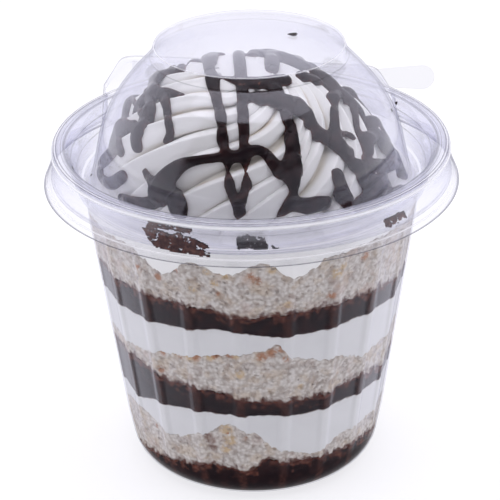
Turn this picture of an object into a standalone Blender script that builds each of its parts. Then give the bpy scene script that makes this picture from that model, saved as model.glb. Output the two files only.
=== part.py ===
"""A clear plastic dessert cup with a domed tear-open lid, filled with cake, cream and fudge.

The cup stands on z = 0 with its axis on Z. The straight hinge ledge is at the back, +Y, and the
pull tab points to +X. Sizes below are millimetres; azimuths are degrees round the axis, 0 at the
front (-Y) and growing towards +X.
"""

import math

import bmesh
import bpy
import numpy as np

MM = 0.001

# Cup body
SHEET = 0.5  # thickness of the formed plastic
GAP = 0.3  # clearance between neighbouring pieces
BASE_RADIUS = 26.0  # flat of the base, up to the rounded corner
CORNER_RADIUS = 7.6
CORNER_SHARES = (0.35, 0.7, 1.0)  # points along the corner's arc
MOUTH_RADIUS = 43.6  # outside of the wall where the shoulder starts
MOUTH_HEIGHT = 78.0
SHOULDER = ((43.7, 79.0), (45.0, 79.6))  # (radius, height) of the step under the lid's gutter
LIP_HEIGHT = 82.2  # lower edge of the cup's turned-down lip
FLUTES = 20
FLUTE_DEPTH = 0.4
FIRST_FLUTE = -6.0  # azimuth
FLUTE_FOOT, FLUTE_FULL, FLUTE_TOP = 6.0, 14.0, 76.0  # heights where the ribs start, are full, and end

# Lid
TOTAL_HEIGHT = 116.6
TOP_PLATE_RADIUS = 24.4
STEP_RADIUS = 25.3
STEP_HEIGHT = 113.5
DOME_FOOT_RADIUS, DOME_FOOT_HEIGHT = 41.5, 81.3
DOME_SHOULDER = ((30.2, 107.8), (35.2, 101.5), (38.5, 94.5), (40.0, 88.5))
GUTTER = ((42.2, 80.3), (44.2, 80.3))  # floor of the ring-shaped gutter inside the rim
RIM = (  # from the gutter's outer corner over the rim to the skirt's lower edge
    (44.9, 81.3),
    (45.3, 84.0),
    (46.7, 87.2),
    (48.0, 90.0),
    (51.2, 90.0),
    (51.8, 89.0),
    (51.8, 86.0),
    (52.7, 82.8),
    (54.0, 79.8),
)
RIM_FLAT_END = 4  # index in RIM of the flat top's outer edge
CUP_RIM_SKIPS = (1, 5)  # points of RIM that the cup's own rim cuts straight across

# Hinge ledge at the back, tear strip and pull tab
LEDGE_REACH = 57.0  # from the axis to the straight back edge
LEDGE_HALF_WIDTH = 36.0  # at the back edge
LEDGE_FLARE = 0.16  # how much wider the ledge gets for each millimetre towards the axis
LEDGE_ANGLE = 49.0  # half of the stretch of rim that has the ledge in place of a skirt
LEDGE_DROOP = 2.6  # how far the lid's ledge hangs below the rim's top at its right end
LEDGE_LIFT = 1.8  # and how far it stands above it at its left end
CUP_LEDGE_TOP = 80.5
CUP_LEDGE_BEND = (0.4, 0.3)  # where it leaves the lip: how far inside its edge, and over the ledge
CUP_LEDGE_INSET = 0.8
STRIP_INSET = 1.2  # from the ledge's back edge to the strip's middle
STRIP_THICKNESS = 0.6
STRIP_TOP_GAP = 0.4
STRIP_LIFT_SHARE = 0.75  # of the lift at the ledge's edge, which the strip lies inside
STRIP_HALF_WIDTH = 33.0
STRIP_STEPS = 10
TAB_ROOT = 36.0
TAB_END = 52.5
TAB_HALF_HEIGHT = 3.6
TAB_MIDDLE = 83.9
TAB_ROOT_HALF_HEIGHT = 2.7
TAB_STEPS = 6

# Layers: where each one ends against the wall, as (azimuth, height), from the bottom up
LAYERS = (
    ("fudge_bottom", "fudge", ((-73, 5), (-56, 7.5), (-35, 9), (-17, 11), (-4, 10), (6, 13.5), (14, 12),
                               (26, 11.5), (57, 10.4), (81, 7), (125, 9), (180, 10.5), (240, 8))),
    ("cake_bottom", "cake", ((-58, 21), (-38, 17.4), (-24, 21), (-11, 25.2), (-2, 22.5), (11, 16.2),
                             (25, 13.2), (43, 16.6), (67, 16.8), (110, 19), (160, 15), (210, 20), (260, 17))),
    ("cream_lower", "cream", ((-60, 24.8), (-45, 27), (-20, 28.5), (8, 28.2), (21, 27.4), (40, 28),
                              (67, 26.9), (110, 27), (160, 28.5), (220, 26.5), (265, 25))),
    ("fudge_middle", "fudge", ((-57, 38), (-38, 35.8), (-16, 35), (-5, 33.1), (13, 32), (31, 31.6),
                               (43, 33.2), (68, 30.5), (110, 33), (160, 34.5), (210, 33), (260, 36))),
    ("cake_middle", "cake", ((-57, 41.4), (-31, 44.7), (-10, 47.4), (2, 48.4), (8, 50), (15, 45.5),
                             (30, 43), (49, 39.7), (65, 40.2), (110, 43), (160, 46), (220, 43), (265, 42))),
    ("cream_upper", "cream", ((-81, 52.9), (-45, 53.2), (-11, 55), (10, 52.8), (28, 52.8), (47, 53.1),
                              (67, 52), (110, 53), (160, 54), (220, 53), (250, 53))),
    ("fudge_upper", "fudge", ((-75, 60.6), (-32, 61), (-15, 60.8), (-7, 58.7), (9, 59.2), (31, 59.5),
                              (50, 59), (63, 57.5), (81, 55.5), (120, 58), (180, 60), (230, 60))),
    ("cake_upper", "cake", ((-70, 74), (-45, 74.5), (-33, 68.8), (-21, 74.5), (-9, 71.8), (3, 75),
                            (15, 70.2), (27, 74.5), (50, 75), (75, 74), (110, 73), (150, 75), (190, 71),
                            (230, 75), (260, 73))),
)

# Piped cream
SWIRL_RADIUS = 38.6  # where it rises out of the ring inside the gutter
SWIRL_FOOT, SWIRL_TOP = 80.0, 111.0
SWIRL_FULLNESS = (1.6, 1.9)  # exponents of the mound's outline
SWIRL_LEAN = -3.0  # how far its top lies to the side of the cup's axis
SWIRL_LIMBS = 16  # ridges of the star-shaped nozzle
SWIRL_TURN = 150.0  # how far each ridge turns from foot to top
SWIRL_TURN_POWER = 1.15  # above 1, a ridge turns faster near the top
SWIRL_DEPTH = 3.4  # from a ridge's crest to the valley behind it
SWIRL_LIFT = 1.6  # how far a crest curls up
SWIRL_PROFILE = ((0.0, 1.0), (0.1, 0.0), (0.55, 0.45))  # across a ridge: place, and how deep it is
DEPTH_SWING, SPACING_SWING = 0.22, 0.12  # how uneven the ridges are
CREAM_SHELF_HEIGHT = 78.9  # top of the cream under the gutter
CREAM_SHELF_EDGE = 0.8  # size of the shelf's outer bevel
CREAM_NECK_RADIUS = 40.2
CREAM_NECK_RISE = 0.3

# Fudge strands on the cream: half width, then (azimuth, height) down the mound
STRANDS = (
    (1.7, ((-35, 109.5), (-16, 106), (-14, 103.5), (-11, 100), (-9, 96), (-8, 93), (-6, 88.5), (-5, 84.5))),
    (1.5, ((-9, 110.5), (-5, 107), (-3, 104), (-4, 100.5), (-2, 94), (-3, 88.5), (-5, 85))),
    (2.3, ((-46, 83), (-40, 88), (-35, 92), (-28, 97), (-20, 98.5), (-4, 99.8), (4, 100.8), (12, 97))),
    (2.4, ((19, 105.5), (19, 102), (17, 98), (16, 93), (14, 90), (9, 86.5))),
    (2.4, ((16, 90.5), (22, 87.5), (32, 86))),
    (3.0, ((-53, 109.8), (-15, 110), (9, 108.8), (23, 107.8), (31, 104), (38, 99), (39, 94))),
    (2.8, ((120, 109), (62, 106.5), (59, 102), (57, 98), (55, 92), (50, 87))),
    (2.4, ((45, 100.5), (42, 97.5), (43, 94), (38, 90), (32, 87))),
    (2.2, ((57, 99.5), (64, 94.5), (68, 88.5), (72, 84))),
    (2.0, ((-110, 108), (-88, 106), (-74, 102), (-71, 96), (-63, 93.5))),
    (2.0, ((-84, 106.5), (-60, 104.5), (-54, 101), (-52, 96.5))),
    (1.6, ((-66, 106.6), (-48, 104.5), (-41, 102), (-40, 99.5))),
    (2.2, ((-75, 89), (-67, 85.5), (-57, 87), (-56, 91))),
    (2.6, ((-61, 84), (-47, 84.5), (-37, 87), (-30, 85))),
    (2.2, ((160, 110), (150, 104), (158, 97), (150, 90))),
    (2.2, ((200, 109), (215, 103), (208, 96), (216, 88))),
)
STRAND_SIDES = 5
STRAND_STEP = 7.2  # between rings
STRAND_PROUD = 0.9  # how far a strand stands out of the cream
STRAND_FLATNESS = 0.8
STRAND_SINK = 0.75  # share of the half width that its middle lies under that
STRAND_SWING = 0.22  # how uneven its width is
CROWN_HEIGHT, CROWN_TILT = 96.0, 1.5  # above that height a strand's back turns up, this much for each mm
STRAND_DOME_GAP = 0.7  # kept to the inside of the dome
STRAND_CEILING = 111.7  # highest point of any strand, clear of the lid's top

CUP_COLUMNS = 3 * FLUTES
LID_COLUMNS = 48
FOOD_COLUMNS = SWIRL_LIMBS * len(SWIRL_PROFILE)
FLOOR_HEIGHTS = (1.7, 3.2)  # of the lowest layer's rings on the base's rounded corner
SWIRL_ROWS = 13

MATERIALS = {  # base colour, roughness, transmission
    "clear": ((0.93, 0.93, 0.96), 0.08, 1.0),
    "cake": ((0.72, 0.63, 0.50), 0.95, 0.0),
    "cream": ((0.85, 0.83, 0.78), 0.45, 0.0),
    "fudge": ((0.030, 0.016, 0.014), 0.22, 0.0),
}


def clear_scene():
    for thing in list(bpy.data.objects):
        bpy.data.objects.remove(thing, do_unlink=True)


def make_materials():
    for name, (colour, roughness, transmission) in MATERIALS.items():
        material = bpy.data.materials.new(name)
        material.use_nodes = True
        shader = material.node_tree.nodes["Principled BSDF"]
        shader.inputs["Base Color"].default_value = (*colour, 1.0)
        shader.inputs["Roughness"].default_value = roughness
        shader.inputs["Transmission Weight"].default_value = transmission
        material.diffuse_color = (*colour, 1.0)


def around(azimuth, radius, height):
    """The point at that azimuth in degrees, radius and height."""
    angle = math.radians(azimuth)
    return np.array((radius * math.sin(angle), -radius * math.cos(angle), height))


def wrap(azimuth):
    """The azimuth between -180 and 180."""
    return (azimuth + 180.0) % 360.0 - 180.0


def columns(count, first=0.0):
    return [first + 360.0 * k / count for k in range(count)]


def smooth_curve(points, at):
    """Catmull-Rom curve through points, at a position counted in points from the first."""
    k = min(int(at), len(points) - 2)
    t = at - k
    before = points[k - 1] if k > 0 else 2 * points[0] - points[1]
    after = points[k + 2] if k + 2 < len(points) else 2 * points[-1] - points[-2]
    here, there = points[k], points[k + 1]
    return 0.5 * (
        2 * here
        + (there - before) * t
        + (2 * before - 5 * here + 4 * there - after) * t**2
        + (3 * here - before - 3 * there + after) * t**3
    )


def level(edge, azimuth):
    """Height of a layer's edge at that azimuth, rising and falling smoothly between its points."""
    points = sorted((a % 360.0, z) for a, z in edge)
    points = [(points[-1][0] - 360.0, points[-1][1])] + points + [(points[0][0] + 360.0, points[0][1])]
    a = azimuth % 360.0
    for (a0, z0), (a1, z1) in zip(points, points[1:]):
        if a0 <= a <= a1:
            t = (a - a0) / (a1 - a0)
            return z0 + (z1 - z0) * t * t * (3 - 2 * t)
    return points[0][1]


def mean_level(edge):
    heights = [level(edge, a) for a in range(0, 360, 10)]
    return sum(heights) / len(heights)


def tangent_angle():
    """Angle of the cup's base corner, from level, where its arc meets the wall."""
    across, up = MOUTH_RADIUS - BASE_RADIUS, MOUTH_HEIGHT - CORNER_RADIUS
    return math.atan2(up, across) - math.acos(CORNER_RADIUS / math.hypot(across, up))


def wall_radius(height, depth=0.0):
    """Radius of the cup's outside at that height, or of a surface that lies depth inside it."""
    angle = tangent_angle()
    centre = (BASE_RADIUS, CORNER_RADIUS)
    inner = CORNER_RADIUS - depth
    foot = centre[1] + inner * math.sin(angle)
    if height < foot:
        drop = min(centre[1] - height, inner)
        return centre[0] + math.sqrt(max(inner**2 - drop**2, 0.0))
    slope = math.tan(-angle)
    return centre[0] + inner * math.cos(angle) + (height - foot) * slope


def offset_right(path, distance):
    """The path moved sideways to the right of its own direction, as (radius, height) points."""
    path = np.array(path, float)
    steps = np.diff(path, axis=0)
    steps /= np.linalg.norm(steps, axis=1)[:, None]
    normals = np.stack((steps[:, 1], -steps[:, 0]), 1)
    first, last = normals[:1], normals[-1:]
    before, after = np.concatenate((first, normals)), np.concatenate((normals, last))
    middle = before + after
    middle /= np.linalg.norm(middle, axis=1)[:, None]
    reach = distance / np.clip((middle * before).sum(1), 0.6, 1.0)
    moved = path + middle * reach[:, None]
    moved[path[:, 0] == 0.0, 0] = 0.0
    return moved


def ledge_reach(azimuth, inset=0.0):
    """Distance from the axis to the hinge ledge's outline, or None beside the ledge."""
    turn = math.radians(abs(wrap(azimuth - 180.0)))
    if math.degrees(turn) > LEDGE_ANGLE:
        return None
    back = (LEDGE_REACH - inset) / math.cos(turn)
    # The side line is x + flare * y = half width + flare * reach
    side = (LEDGE_HALF_WIDTH - inset + LEDGE_FLARE * LEDGE_REACH) / (
        math.sin(turn) + LEDGE_FLARE * math.cos(turn)
    )
    return min(back, side)


def ledge_drop(x):
    """How far the edge of the lid's ledge lies below the rim's top, at that place across it."""
    share = min(max(0.5 + 0.5 * x / LEDGE_HALF_WIDTH, 0.0), 1.0)
    return LEDGE_DROOP * share - LEDGE_LIFT * (1.0 - share)


def lid_path(azimuth):
    """The lid's outer surface from the top's centre to the skirt's edge, or to the ledge's edge."""
    dome = [(TOP_PLATE_RADIUS, TOTAL_HEIGHT), (STEP_RADIUS, STEP_HEIGHT), *DOME_SHOULDER]
    path = [(0.0, TOTAL_HEIGHT), *dome, (DOME_FOOT_RADIUS, DOME_FOOT_HEIGHT), *GUTTER]
    reach = ledge_reach(azimuth)
    if reach is None:
        return path + list(RIM)
    path += RIM[: RIM_FLAT_END + 1]
    start, height = RIM[RIM_FLAT_END]
    count = len(RIM) - RIM_FLAT_END - 1
    for k in range(1, count + 1):
        radius = start + (reach - start) * k / count
        drop = ledge_drop(around(azimuth, radius, height)[0])
        path.append((radius, height - drop * k / count))
    return path


def cup_rim():
    """The cup's rim under the lid's: the same line, one sheet and one gap lower."""
    rim = offset_right(RIM, SHEET + GAP)
    points = [tuple(p) for k, p in enumerate(rim[:-1]) if k not in CUP_RIM_SKIPS]
    (r0, z0), (r1, z1) = rim[-2], rim[-1]
    share = (z0 - LIP_HEIGHT) / (z0 - z1)
    return points + [(r0 + (r1 - r0) * share, LIP_HEIGHT)]


def flute(azimuth, height):
    """How far the wall stands out at that place, as one of the ribs."""
    pitch = 360.0 / FLUTES
    away = abs((azimuth - FIRST_FLUTE + pitch / 2) % pitch - pitch / 2)
    if away > 180.0 / CUP_COLUMNS or not FLUTE_FOOT < height < FLUTE_TOP:
        return 0.0
    return FLUTE_DEPTH * min(1.0, (height - FLUTE_FOOT) / (FLUTE_FULL - FLUTE_FOOT))


def cup_path(azimuth):
    """The cup's inner surface from the floor's centre, up the wall and over to the lip's edge."""
    angle = tangent_angle()
    inner = CORNER_RADIUS - SHEET
    path = [(0.0, SHEET), (BASE_RADIUS, SHEET)]
    for share in CORNER_SHARES:
        turn = -math.pi / 2 + share * (math.pi / 2 + angle)
        path.append((BASE_RADIUS + inner * math.cos(turn), CORNER_RADIUS + inner * math.sin(turn)))
    for height in (FLUTE_FULL, FLUTE_TOP - 1.0, FLUTE_TOP + 1.0):
        path.append((wall_radius(height, SHEET) + flute(azimuth, height), height))
    rim = cup_rim()
    path += [*SHOULDER, *rim[:-1]]
    reach = ledge_reach(azimuth, CUP_LEDGE_INSET)
    if reach is None:
        middle = tuple((a + b) / 2 for a, b in zip(rim[-2], rim[-1]))
        return path + [middle, rim[-1]]
    inside, above = CUP_LEDGE_BEND
    return path + [(rim[-1][0] - inside, CUP_LEDGE_TOP + above), (reach, CUP_LEDGE_TOP)]


def add_mesh(name, vertices, faces, material):
    """A new object from millimetre points, with its faces pointing out."""
    mesh = bpy.data.meshes.new(name)
    mesh.from_pydata([tuple(float(c) * MM for c in v) for v in vertices], [], faces)
    solid = bmesh.new()
    solid.from_mesh(mesh)
    bmesh.ops.triangulate(solid, faces=[f for f in solid.faces if len(f.verts) > 3])
    bmesh.ops.recalc_face_normals(solid, faces=solid.faces)
    solid.to_mesh(mesh)
    solid.free()
    mesh.materials.append(bpy.data.materials[material])
    mesh.shade_smooth()
    mesh.set_sharp_from_angle(angle=math.radians(35.0))
    thing = bpy.data.objects.new(name, mesh)
    bpy.context.scene.collection.objects.link(thing)
    return thing


def stack_rings(rings):
    """Vertices and faces of a skin over rings of points, closed by a single point at each end."""
    vertices, starts = [], []
    for ring in rings:
        starts.append(len(vertices))
        vertices.extend(ring)
    faces = []
    for k in range(len(rings) - 1):
        a, b = rings[k], rings[k + 1]
        count = max(len(a), len(b))
        for i in range(count):
            j = (i + 1) % count
            if len(a) == 1:
                faces.append((starts[k], starts[k + 1] + i, starts[k + 1] + j))
            elif len(b) == 1:
                faces.append((starts[k] + i, starts[k] + j, starts[k + 1]))
            else:
                faces.append((starts[k] + i, starts[k] + j, starts[k + 1] + j, starts[k + 1] + i))
    return vertices, faces


def formed_sheet(name, path_at, azimuths):
    """A closed shell of even thickness, whose path is its surface on the left at each azimuth."""
    outer, inner = [], []
    for azimuth in azimuths:
        path = path_at(azimuth)
        outer.append([around(azimuth, r, z) for r, z in path])
        inner.append([around(azimuth, r, z) for r, z in offset_right(path, SHEET)])
    count = len(outer[0])
    rings = [[column[k] for column in outer] for k in range(count)]
    rings += [[column[k] for column in inner] for k in reversed(range(count))]
    rings[0], rings[-1] = rings[0][:1], rings[-1][:1]
    return add_mesh(name, *stack_rings(rings), "clear")


def tear_strip():
    """The upright strip between the two ledges, with its pull tab."""
    outline = []
    top = RIM[RIM_FLAT_END][1] - SHEET - STRIP_TOP_GAP
    bottom = CUP_LEDGE_TOP + GAP
    for k in range(STRIP_STEPS + 1):
        x = STRIP_HALF_WIDTH * (2 * k / STRIP_STEPS - 1)
        drop = ledge_drop(x)
        outline.append((x, top - max(drop, STRIP_LIFT_SHARE * drop)))
    outline.append((TAB_ROOT, TAB_MIDDLE + TAB_ROOT_HALF_HEIGHT))
    centre = TAB_END - TAB_HALF_HEIGHT
    for k in range(TAB_STEPS + 1):
        turn = math.pi * (0.5 - k / TAB_STEPS)
        x, z = TAB_HALF_HEIGHT * math.cos(turn), TAB_HALF_HEIGHT * math.sin(turn)
        outline.append((centre + x, TAB_MIDDLE + z))
    outline.append((TAB_ROOT, TAB_MIDDLE - TAB_ROOT_HALF_HEIGHT))
    outline.append((STRIP_HALF_WIDTH, bottom))
    outline.append((-STRIP_HALF_WIDTH, bottom))
    y = LEDGE_REACH - STRIP_INSET
    front = [(x, y - STRIP_THICKNESS / 2, z) for x, z in outline]
    back = [(x, y + STRIP_THICKNESS / 2, z) for x, z in outline]
    count = len(outline)
    faces = [tuple(range(count)), tuple(reversed(range(count, 2 * count)))]
    faces += [(i, i + count, (i + 1) % count + count, (i + 1) % count) for i in range(count)]
    return add_mesh("tear_strip", front + back, faces, "clear")


def food_radius(height):
    return wall_radius(height, SHEET + GAP)


def layer_surface(edge, lift):
    """Rings of a layer's top or bottom from the centre out to the wall."""
    middle = mean_level(edge)
    ring = []
    for azimuth in columns(FOOD_COLUMNS, FIRST_FLUTE):
        height = level(edge, azimuth) + lift
        ring.append(around(azimuth, food_radius(height), height))
    return [[np.array((0.0, 0.0, middle + lift))], ring]


def floor_surface():
    """Rings of the lowest layer's underside, down in the cup's rounded base."""
    low = SHEET + GAP
    rings = [[np.array((0.0, 0.0, low))]]
    steps = [(BASE_RADIUS, low)] + [(food_radius(height), height) for height in FLOOR_HEIGHTS]
    for radius, height in steps:
        rings.append([around(a, radius, height) for a in columns(FOOD_COLUMNS, FIRST_FLUTE)])
    return rings


def make_layers():
    below = None
    for name, material, edge in LAYERS:
        lower = floor_surface() if below is None else layer_surface(below, GAP / 2)
        upper = layer_surface(edge, -GAP / 2)
        add_mesh(name, *stack_rings(lower + upper[::-1]), material)
        below = edge


def mound_share(height):
    """The share of the way up the piped mound."""
    return min(max((height - SWIRL_FOOT) / (SWIRL_TOP - SWIRL_FOOT), 0.0), 1.0)


def leaning(point):
    """The point moved to the side as far as the mound leans at its height."""
    return point + np.array((SWIRL_LEAN * mound_share(point[2]), 0.0, 0.0))


def mound_radius(height):
    """Radius of the piped mound's outline at that height."""
    share = mound_share(height)
    shoulder, crown = SWIRL_FULLNESS
    return SWIRL_RADIUS * (1.0 - share**shoulder) ** (1.0 / crown)


def dome_radius(height):
    """Radius of the lid's inside at that height."""
    path = offset_right(lid_path(0.0), SHEET)[1 : len(DOME_SHOULDER) + 4]
    return float(np.interp(height, path[::-1, 1], path[::-1, 0]))


def swirl_point(limb, across, share):
    """A point of the swirl: which ridge, how far across it, and the share of the way up."""
    height = SWIRL_FOOT + (SWIRL_TOP - SWIRL_FOOT) * math.sin(share * math.pi / 2)
    # The ridges are shallow at the foot, full in the middle and gone at the top
    fade = math.sin(math.pi * min(share * 1.15 + 0.06, 1.0)) ** 0.4
    depth = SWIRL_DEPTH * (1.0 + DEPTH_SWING * math.sin(2.4 * limb)) * fade
    place, hollow = SWIRL_PROFILE[across]
    radius = max(mound_radius(height) - depth * hollow, 0.0)
    curl = SWIRL_LIFT * fade * (1.0 - hollow)
    spacing = 360.0 / SWIRL_LIMBS
    azimuth = spacing * (limb + SPACING_SWING * math.sin(1.7 * limb) + place)
    azimuth += SWIRL_TURN * share**SWIRL_TURN_POWER
    return leaning(around(azimuth, radius, min(height + curl * (1.0 - share), SWIRL_TOP)))


def cream_body():
    """The top layer of cream: a disc on the cake, a neck inside the gutter and the twisted mound."""
    rings = layer_surface(LAYERS[-1][2], GAP / 2)
    edge_height = CREAM_SHELF_HEIGHT - CREAM_SHELF_EDGE
    edge_radius = food_radius(edge_height)
    for radius, height in (
        (edge_radius, edge_height),
        (edge_radius - CREAM_SHELF_EDGE, CREAM_SHELF_HEIGHT),
        (CREAM_NECK_RADIUS, CREAM_SHELF_HEIGHT + CREAM_NECK_RISE),
    ):
        rings.append([around(a, radius, height) for a in columns(FOOD_COLUMNS, FIRST_FLUTE)])
    for row in range(SWIRL_ROWS):
        share = row / SWIRL_ROWS
        places = [(limb, across) for limb in range(SWIRL_LIMBS) for across in range(len(SWIRL_PROFILE))]
        rings.append([swirl_point(limb, across, share) for limb, across in places])
    rings.append([leaning(np.array((0.0, 0.0, SWIRL_TOP)))])
    return add_mesh("cream_swirl", *stack_rings(rings), "cream")


def on_mound(azimuth, height, proud):
    """A point that far out of the mound, kept inside the dome."""
    room = dome_radius(height) - STRAND_DOME_GAP - abs(SWIRL_LEAN) * mound_share(height)
    radius = min(mound_radius(height) + proud, room)
    return leaning(around(azimuth, max(radius, 0.0), height))


def make_strand(name, half_width, route):
    """One thread of fudge: a flattened tube along its route down the mound."""
    route = [np.array(p, float) for p in route]
    line = [smooth_curve(route, at) for at in np.linspace(0, len(route) - 1, 12 * len(route))]
    centre = [on_mound(a, z, STRAND_PROUD - half_width * STRAND_SINK) for a, z in line]
    kept = [0]
    for k in range(1, len(centre)):
        if np.linalg.norm(centre[k] - centre[kept[-1]]) >= STRAND_STEP:
            kept.append(k)
    rings = []
    for place, k in enumerate(kept):
        ahead = centre[min(k + 1, len(centre) - 1)] - centre[max(k - 1, 0)]
        ahead /= np.linalg.norm(ahead)
        rise = CROWN_TILT * max(centre[k][2] - CROWN_HEIGHT, 0.0)
        outward = centre[k] * (1.0, 1.0, 0.0) + (0.0, 0.0, rise)
        outward -= ahead * outward.dot(ahead)
        outward /= np.linalg.norm(outward)
        sideways = np.cross(ahead, outward)
        swell = half_width * (1.0 + STRAND_SWING * math.sin(2.1 * place))
        ring = []
        for side in range(STRAND_SIDES):
            turn = 2.0 * math.pi * side / STRAND_SIDES
            upward = STRAND_FLATNESS * outward * math.sin(turn)
            point = centre[k] + swell * (sideways * math.cos(turn) + upward)
            point[2] = min(point[2], STRAND_CEILING)
            ring.append(point)
        rings.append(ring)
    ends = [[sum(ring) / STRAND_SIDES] for ring in (rings[0], rings[-1])]
    return add_mesh(name, *stack_rings([ends[0], *rings, ends[1]]), "fudge")


def keep_outer_shell(mesh):
    """Deletes all but the shell with the most faces, which fills any hollow the union sealed."""
    solid = bmesh.new()
    solid.from_mesh(mesh)
    solid.verts.ensure_lookup_table()
    unseen = set(solid.verts)
    shells = []
    while unseen:
        shell, edge = set(), [next(iter(unseen))]
        while edge:
            vertex = edge.pop()
            if vertex in shell:
                continue
            shell.add(vertex)
            edge.extend(link.other_vert(vertex) for link in vertex.link_edges)
        unseen -= shell
        shells.append(shell)
    largest = max(shells, key=len)
    for shell in shells:
        if shell is not largest:
            bmesh.ops.delete(solid, geom=list(shell), context="VERTS")
    solid.to_mesh(mesh)
    solid.free()


def fuse(base, pieces):
    """Joins the pieces to the base by one Boolean union, and removes them."""
    group = bpy.data.collections.new("strands")
    bpy.context.scene.collection.children.link(group)
    for piece in pieces:
        bpy.context.scene.collection.objects.unlink(piece)
        group.objects.link(piece)
    union = base.modifiers.new("union", "BOOLEAN")
    union.operation = "UNION"
    union.operand_type = "COLLECTION"
    union.collection = group
    union.solver = "EXACT"
    bpy.context.view_layer.update()
    joined = bpy.data.meshes.new_from_object(base.evaluated_get(bpy.context.evaluated_depsgraph_get()))
    keep_outer_shell(joined)
    base.modifiers.clear()
    base.data = joined
    for piece in pieces:
        bpy.data.objects.remove(piece, do_unlink=True)
    bpy.data.collections.remove(group)


def make_cream():
    cream = cream_body()
    strands = [make_strand(f"strand_{k}", width, route) for k, (width, route) in enumerate(STRANDS)]
    fuse(cream, strands)


def main():
    clear_scene()
    make_materials()
    formed_sheet("cup", cup_path, columns(CUP_COLUMNS, FIRST_FLUTE))
    formed_sheet("lid", lid_path, columns(LID_COLUMNS))
    tear_strip()
    make_layers()
    make_cream()


main()
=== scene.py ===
"""The looks of the parfait: a clear cup and domed lid, layers of cake, cream and fudge, and piped
cream with fudge threads under the dome.

Sizes are millimetres until a mesh is made. Azimuths are degrees round the cup's axis, 0 at the
front (-Y) and growing towards +X.
"""

import math

import bpy
import numpy as np
from mathutils import Matrix, Vector, noise
from mathutils.bvhtree import BVHTree

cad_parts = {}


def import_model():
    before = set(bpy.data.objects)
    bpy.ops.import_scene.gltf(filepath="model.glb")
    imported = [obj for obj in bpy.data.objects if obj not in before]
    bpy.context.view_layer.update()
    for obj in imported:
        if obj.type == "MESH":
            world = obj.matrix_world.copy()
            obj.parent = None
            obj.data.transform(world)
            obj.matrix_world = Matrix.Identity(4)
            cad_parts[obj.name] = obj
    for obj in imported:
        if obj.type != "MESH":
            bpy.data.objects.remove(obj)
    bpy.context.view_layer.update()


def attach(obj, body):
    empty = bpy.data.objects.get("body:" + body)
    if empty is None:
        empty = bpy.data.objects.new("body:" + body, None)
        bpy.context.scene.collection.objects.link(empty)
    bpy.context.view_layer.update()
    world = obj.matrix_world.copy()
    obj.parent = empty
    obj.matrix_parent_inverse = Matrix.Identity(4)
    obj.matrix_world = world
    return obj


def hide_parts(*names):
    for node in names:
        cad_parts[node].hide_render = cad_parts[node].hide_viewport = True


MM = 0.001

# Studio light, as strengths of the sky and the cosines and sines of where its parts end
ROOM_EDGE = (-0.62, -0.5)
ROOM_FOOT = (0.34, 0.42)
ROOM_LIGHT, FRONT_LIGHT, SIDE_LIGHT, BACK_SHARE = 0.05, 0.4, 1.1, 0.95
BACK_EDGE = (0.3, 0.7)
CEILING_EDGE = (0.834, 0.85)
CEILING_BOW = 0.22  # how much lower the ceiling reaches at the sides
CEILING_LIGHT = 2.2

# Camera
CAMERA_ELEVATION = 26.37
CAMERA_DISTANCE = 570.0
CAMERA_AIM = (-0.7, 57.8)  # across and up from the centre of the base
CAMERA_ROLL = 1.0
CAMERA_LENS, CAMERA_SENSOR = 154.4, 36.0
FRAME = 500  # pixels across the camera's frame, in which places are given below
PIXEL = CAMERA_SENSOR / FRAME / CAMERA_LENS  # width of a pixel at a distance of one

# Cup
SHEET = 0.5
EDGE_WIDTH = 0.3  # of the painted dark line, painted shade, along a sheet's free edge
WALL_BITE = 0.2  # how far the food reaches into the wall, so that no air gap shows
BASE_RADIUS = 26.0
CORNER_RADIUS = 7.6
MOUTH_RADIUS, MOUTH_HEIGHT = 43.6, 78.0
SHOULDER = ((43.7, 79.0), (45.0, 79.6))
LIP_HEIGHT = 82.2
FLUTES = 20
FLUTE_DEPTH = 0.4
FLUTE_FLANK = (3.4, 1.0)  # degrees from a rib's middle to its flank's foot and top
PANEL_HOLLOW = 0.15
WET_FOOT = (7.0, 18.0)  # heights where the sheet, wet with fudge, begins to shine and shines in full
FIRST_FLUTE = -6.0
FLUTE_PITCH = 360.0 / FLUTES
FLUTE_FOOT, FLUTE_FULL, FLUTE_TOP = 6.0, 14.0, 76.0  # heights where the ribs begin, are full and end

# Lid
GAP = 0.3
TOTAL_HEIGHT = 116.6
DOME = ((24.4, 116.6), (25.3, 113.5), (30.35, 108.05), (35.2, 101.5), (38.5, 94.5), (40.0, 88.5),
        (41.5, 81.3))
GUTTER = ((42.2, 80.3), (44.2, 80.3))
RIM = ((44.9, 81.3), (45.3, 84.0), (46.7, 87.2), (48.0, 90.0), (51.2, 90.0), (51.8, 89.0), (51.8, 86.0),
       (52.7, 82.8), (54.0, 79.8))
RIM_FLAT_END = 4  # the rim's point where its flat top ends and its skirt or ledge begins
LID_COLUMNS = 540
# Painted lines along the lid's bends, dark ones painted shade and bright ones painted highlight: radius,
# height, half width, and how much of the sheet they take
PAINTED_SHADE_LINES = ((25.3, 113.5, 0.28, 0.3), (45.3, 84.0, 0.3, 0.35), (46.7, 87.2, 0.3, 0.35),
              (48.4, 90.0, 0.7, 0.5), (49.3, 90.0, 0.2, 0.4), (50.45, 90.0, 0.22, 0.75),
              (51.15, 89.95, 0.22, 0.75))
PAINTED_HIGHLIGHT_LINES = ((24.4, 116.6, 0.3, 0.7), (50.8, 90.0, 0.2, 0.6), (51.7, 89.0, 0.75, 0.9),
                (53.3, 81.4, 0.45, 0.6))

# The sheet's looks: the most of it that mirrors, and the painted shade that darkens what passes
# through it where it is seen along the sheet, and at an edge
MOST_GLOSS = 0.24
GRAZING_SHADE_TINT, GRAZING_POWER = (0.55, 0.55, 0.58), 9.0
# Painted shade for the free edge and the bends' dark lines
EDGE_SHADE_TINT = (0.13, 0.13, 0.16)

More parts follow.
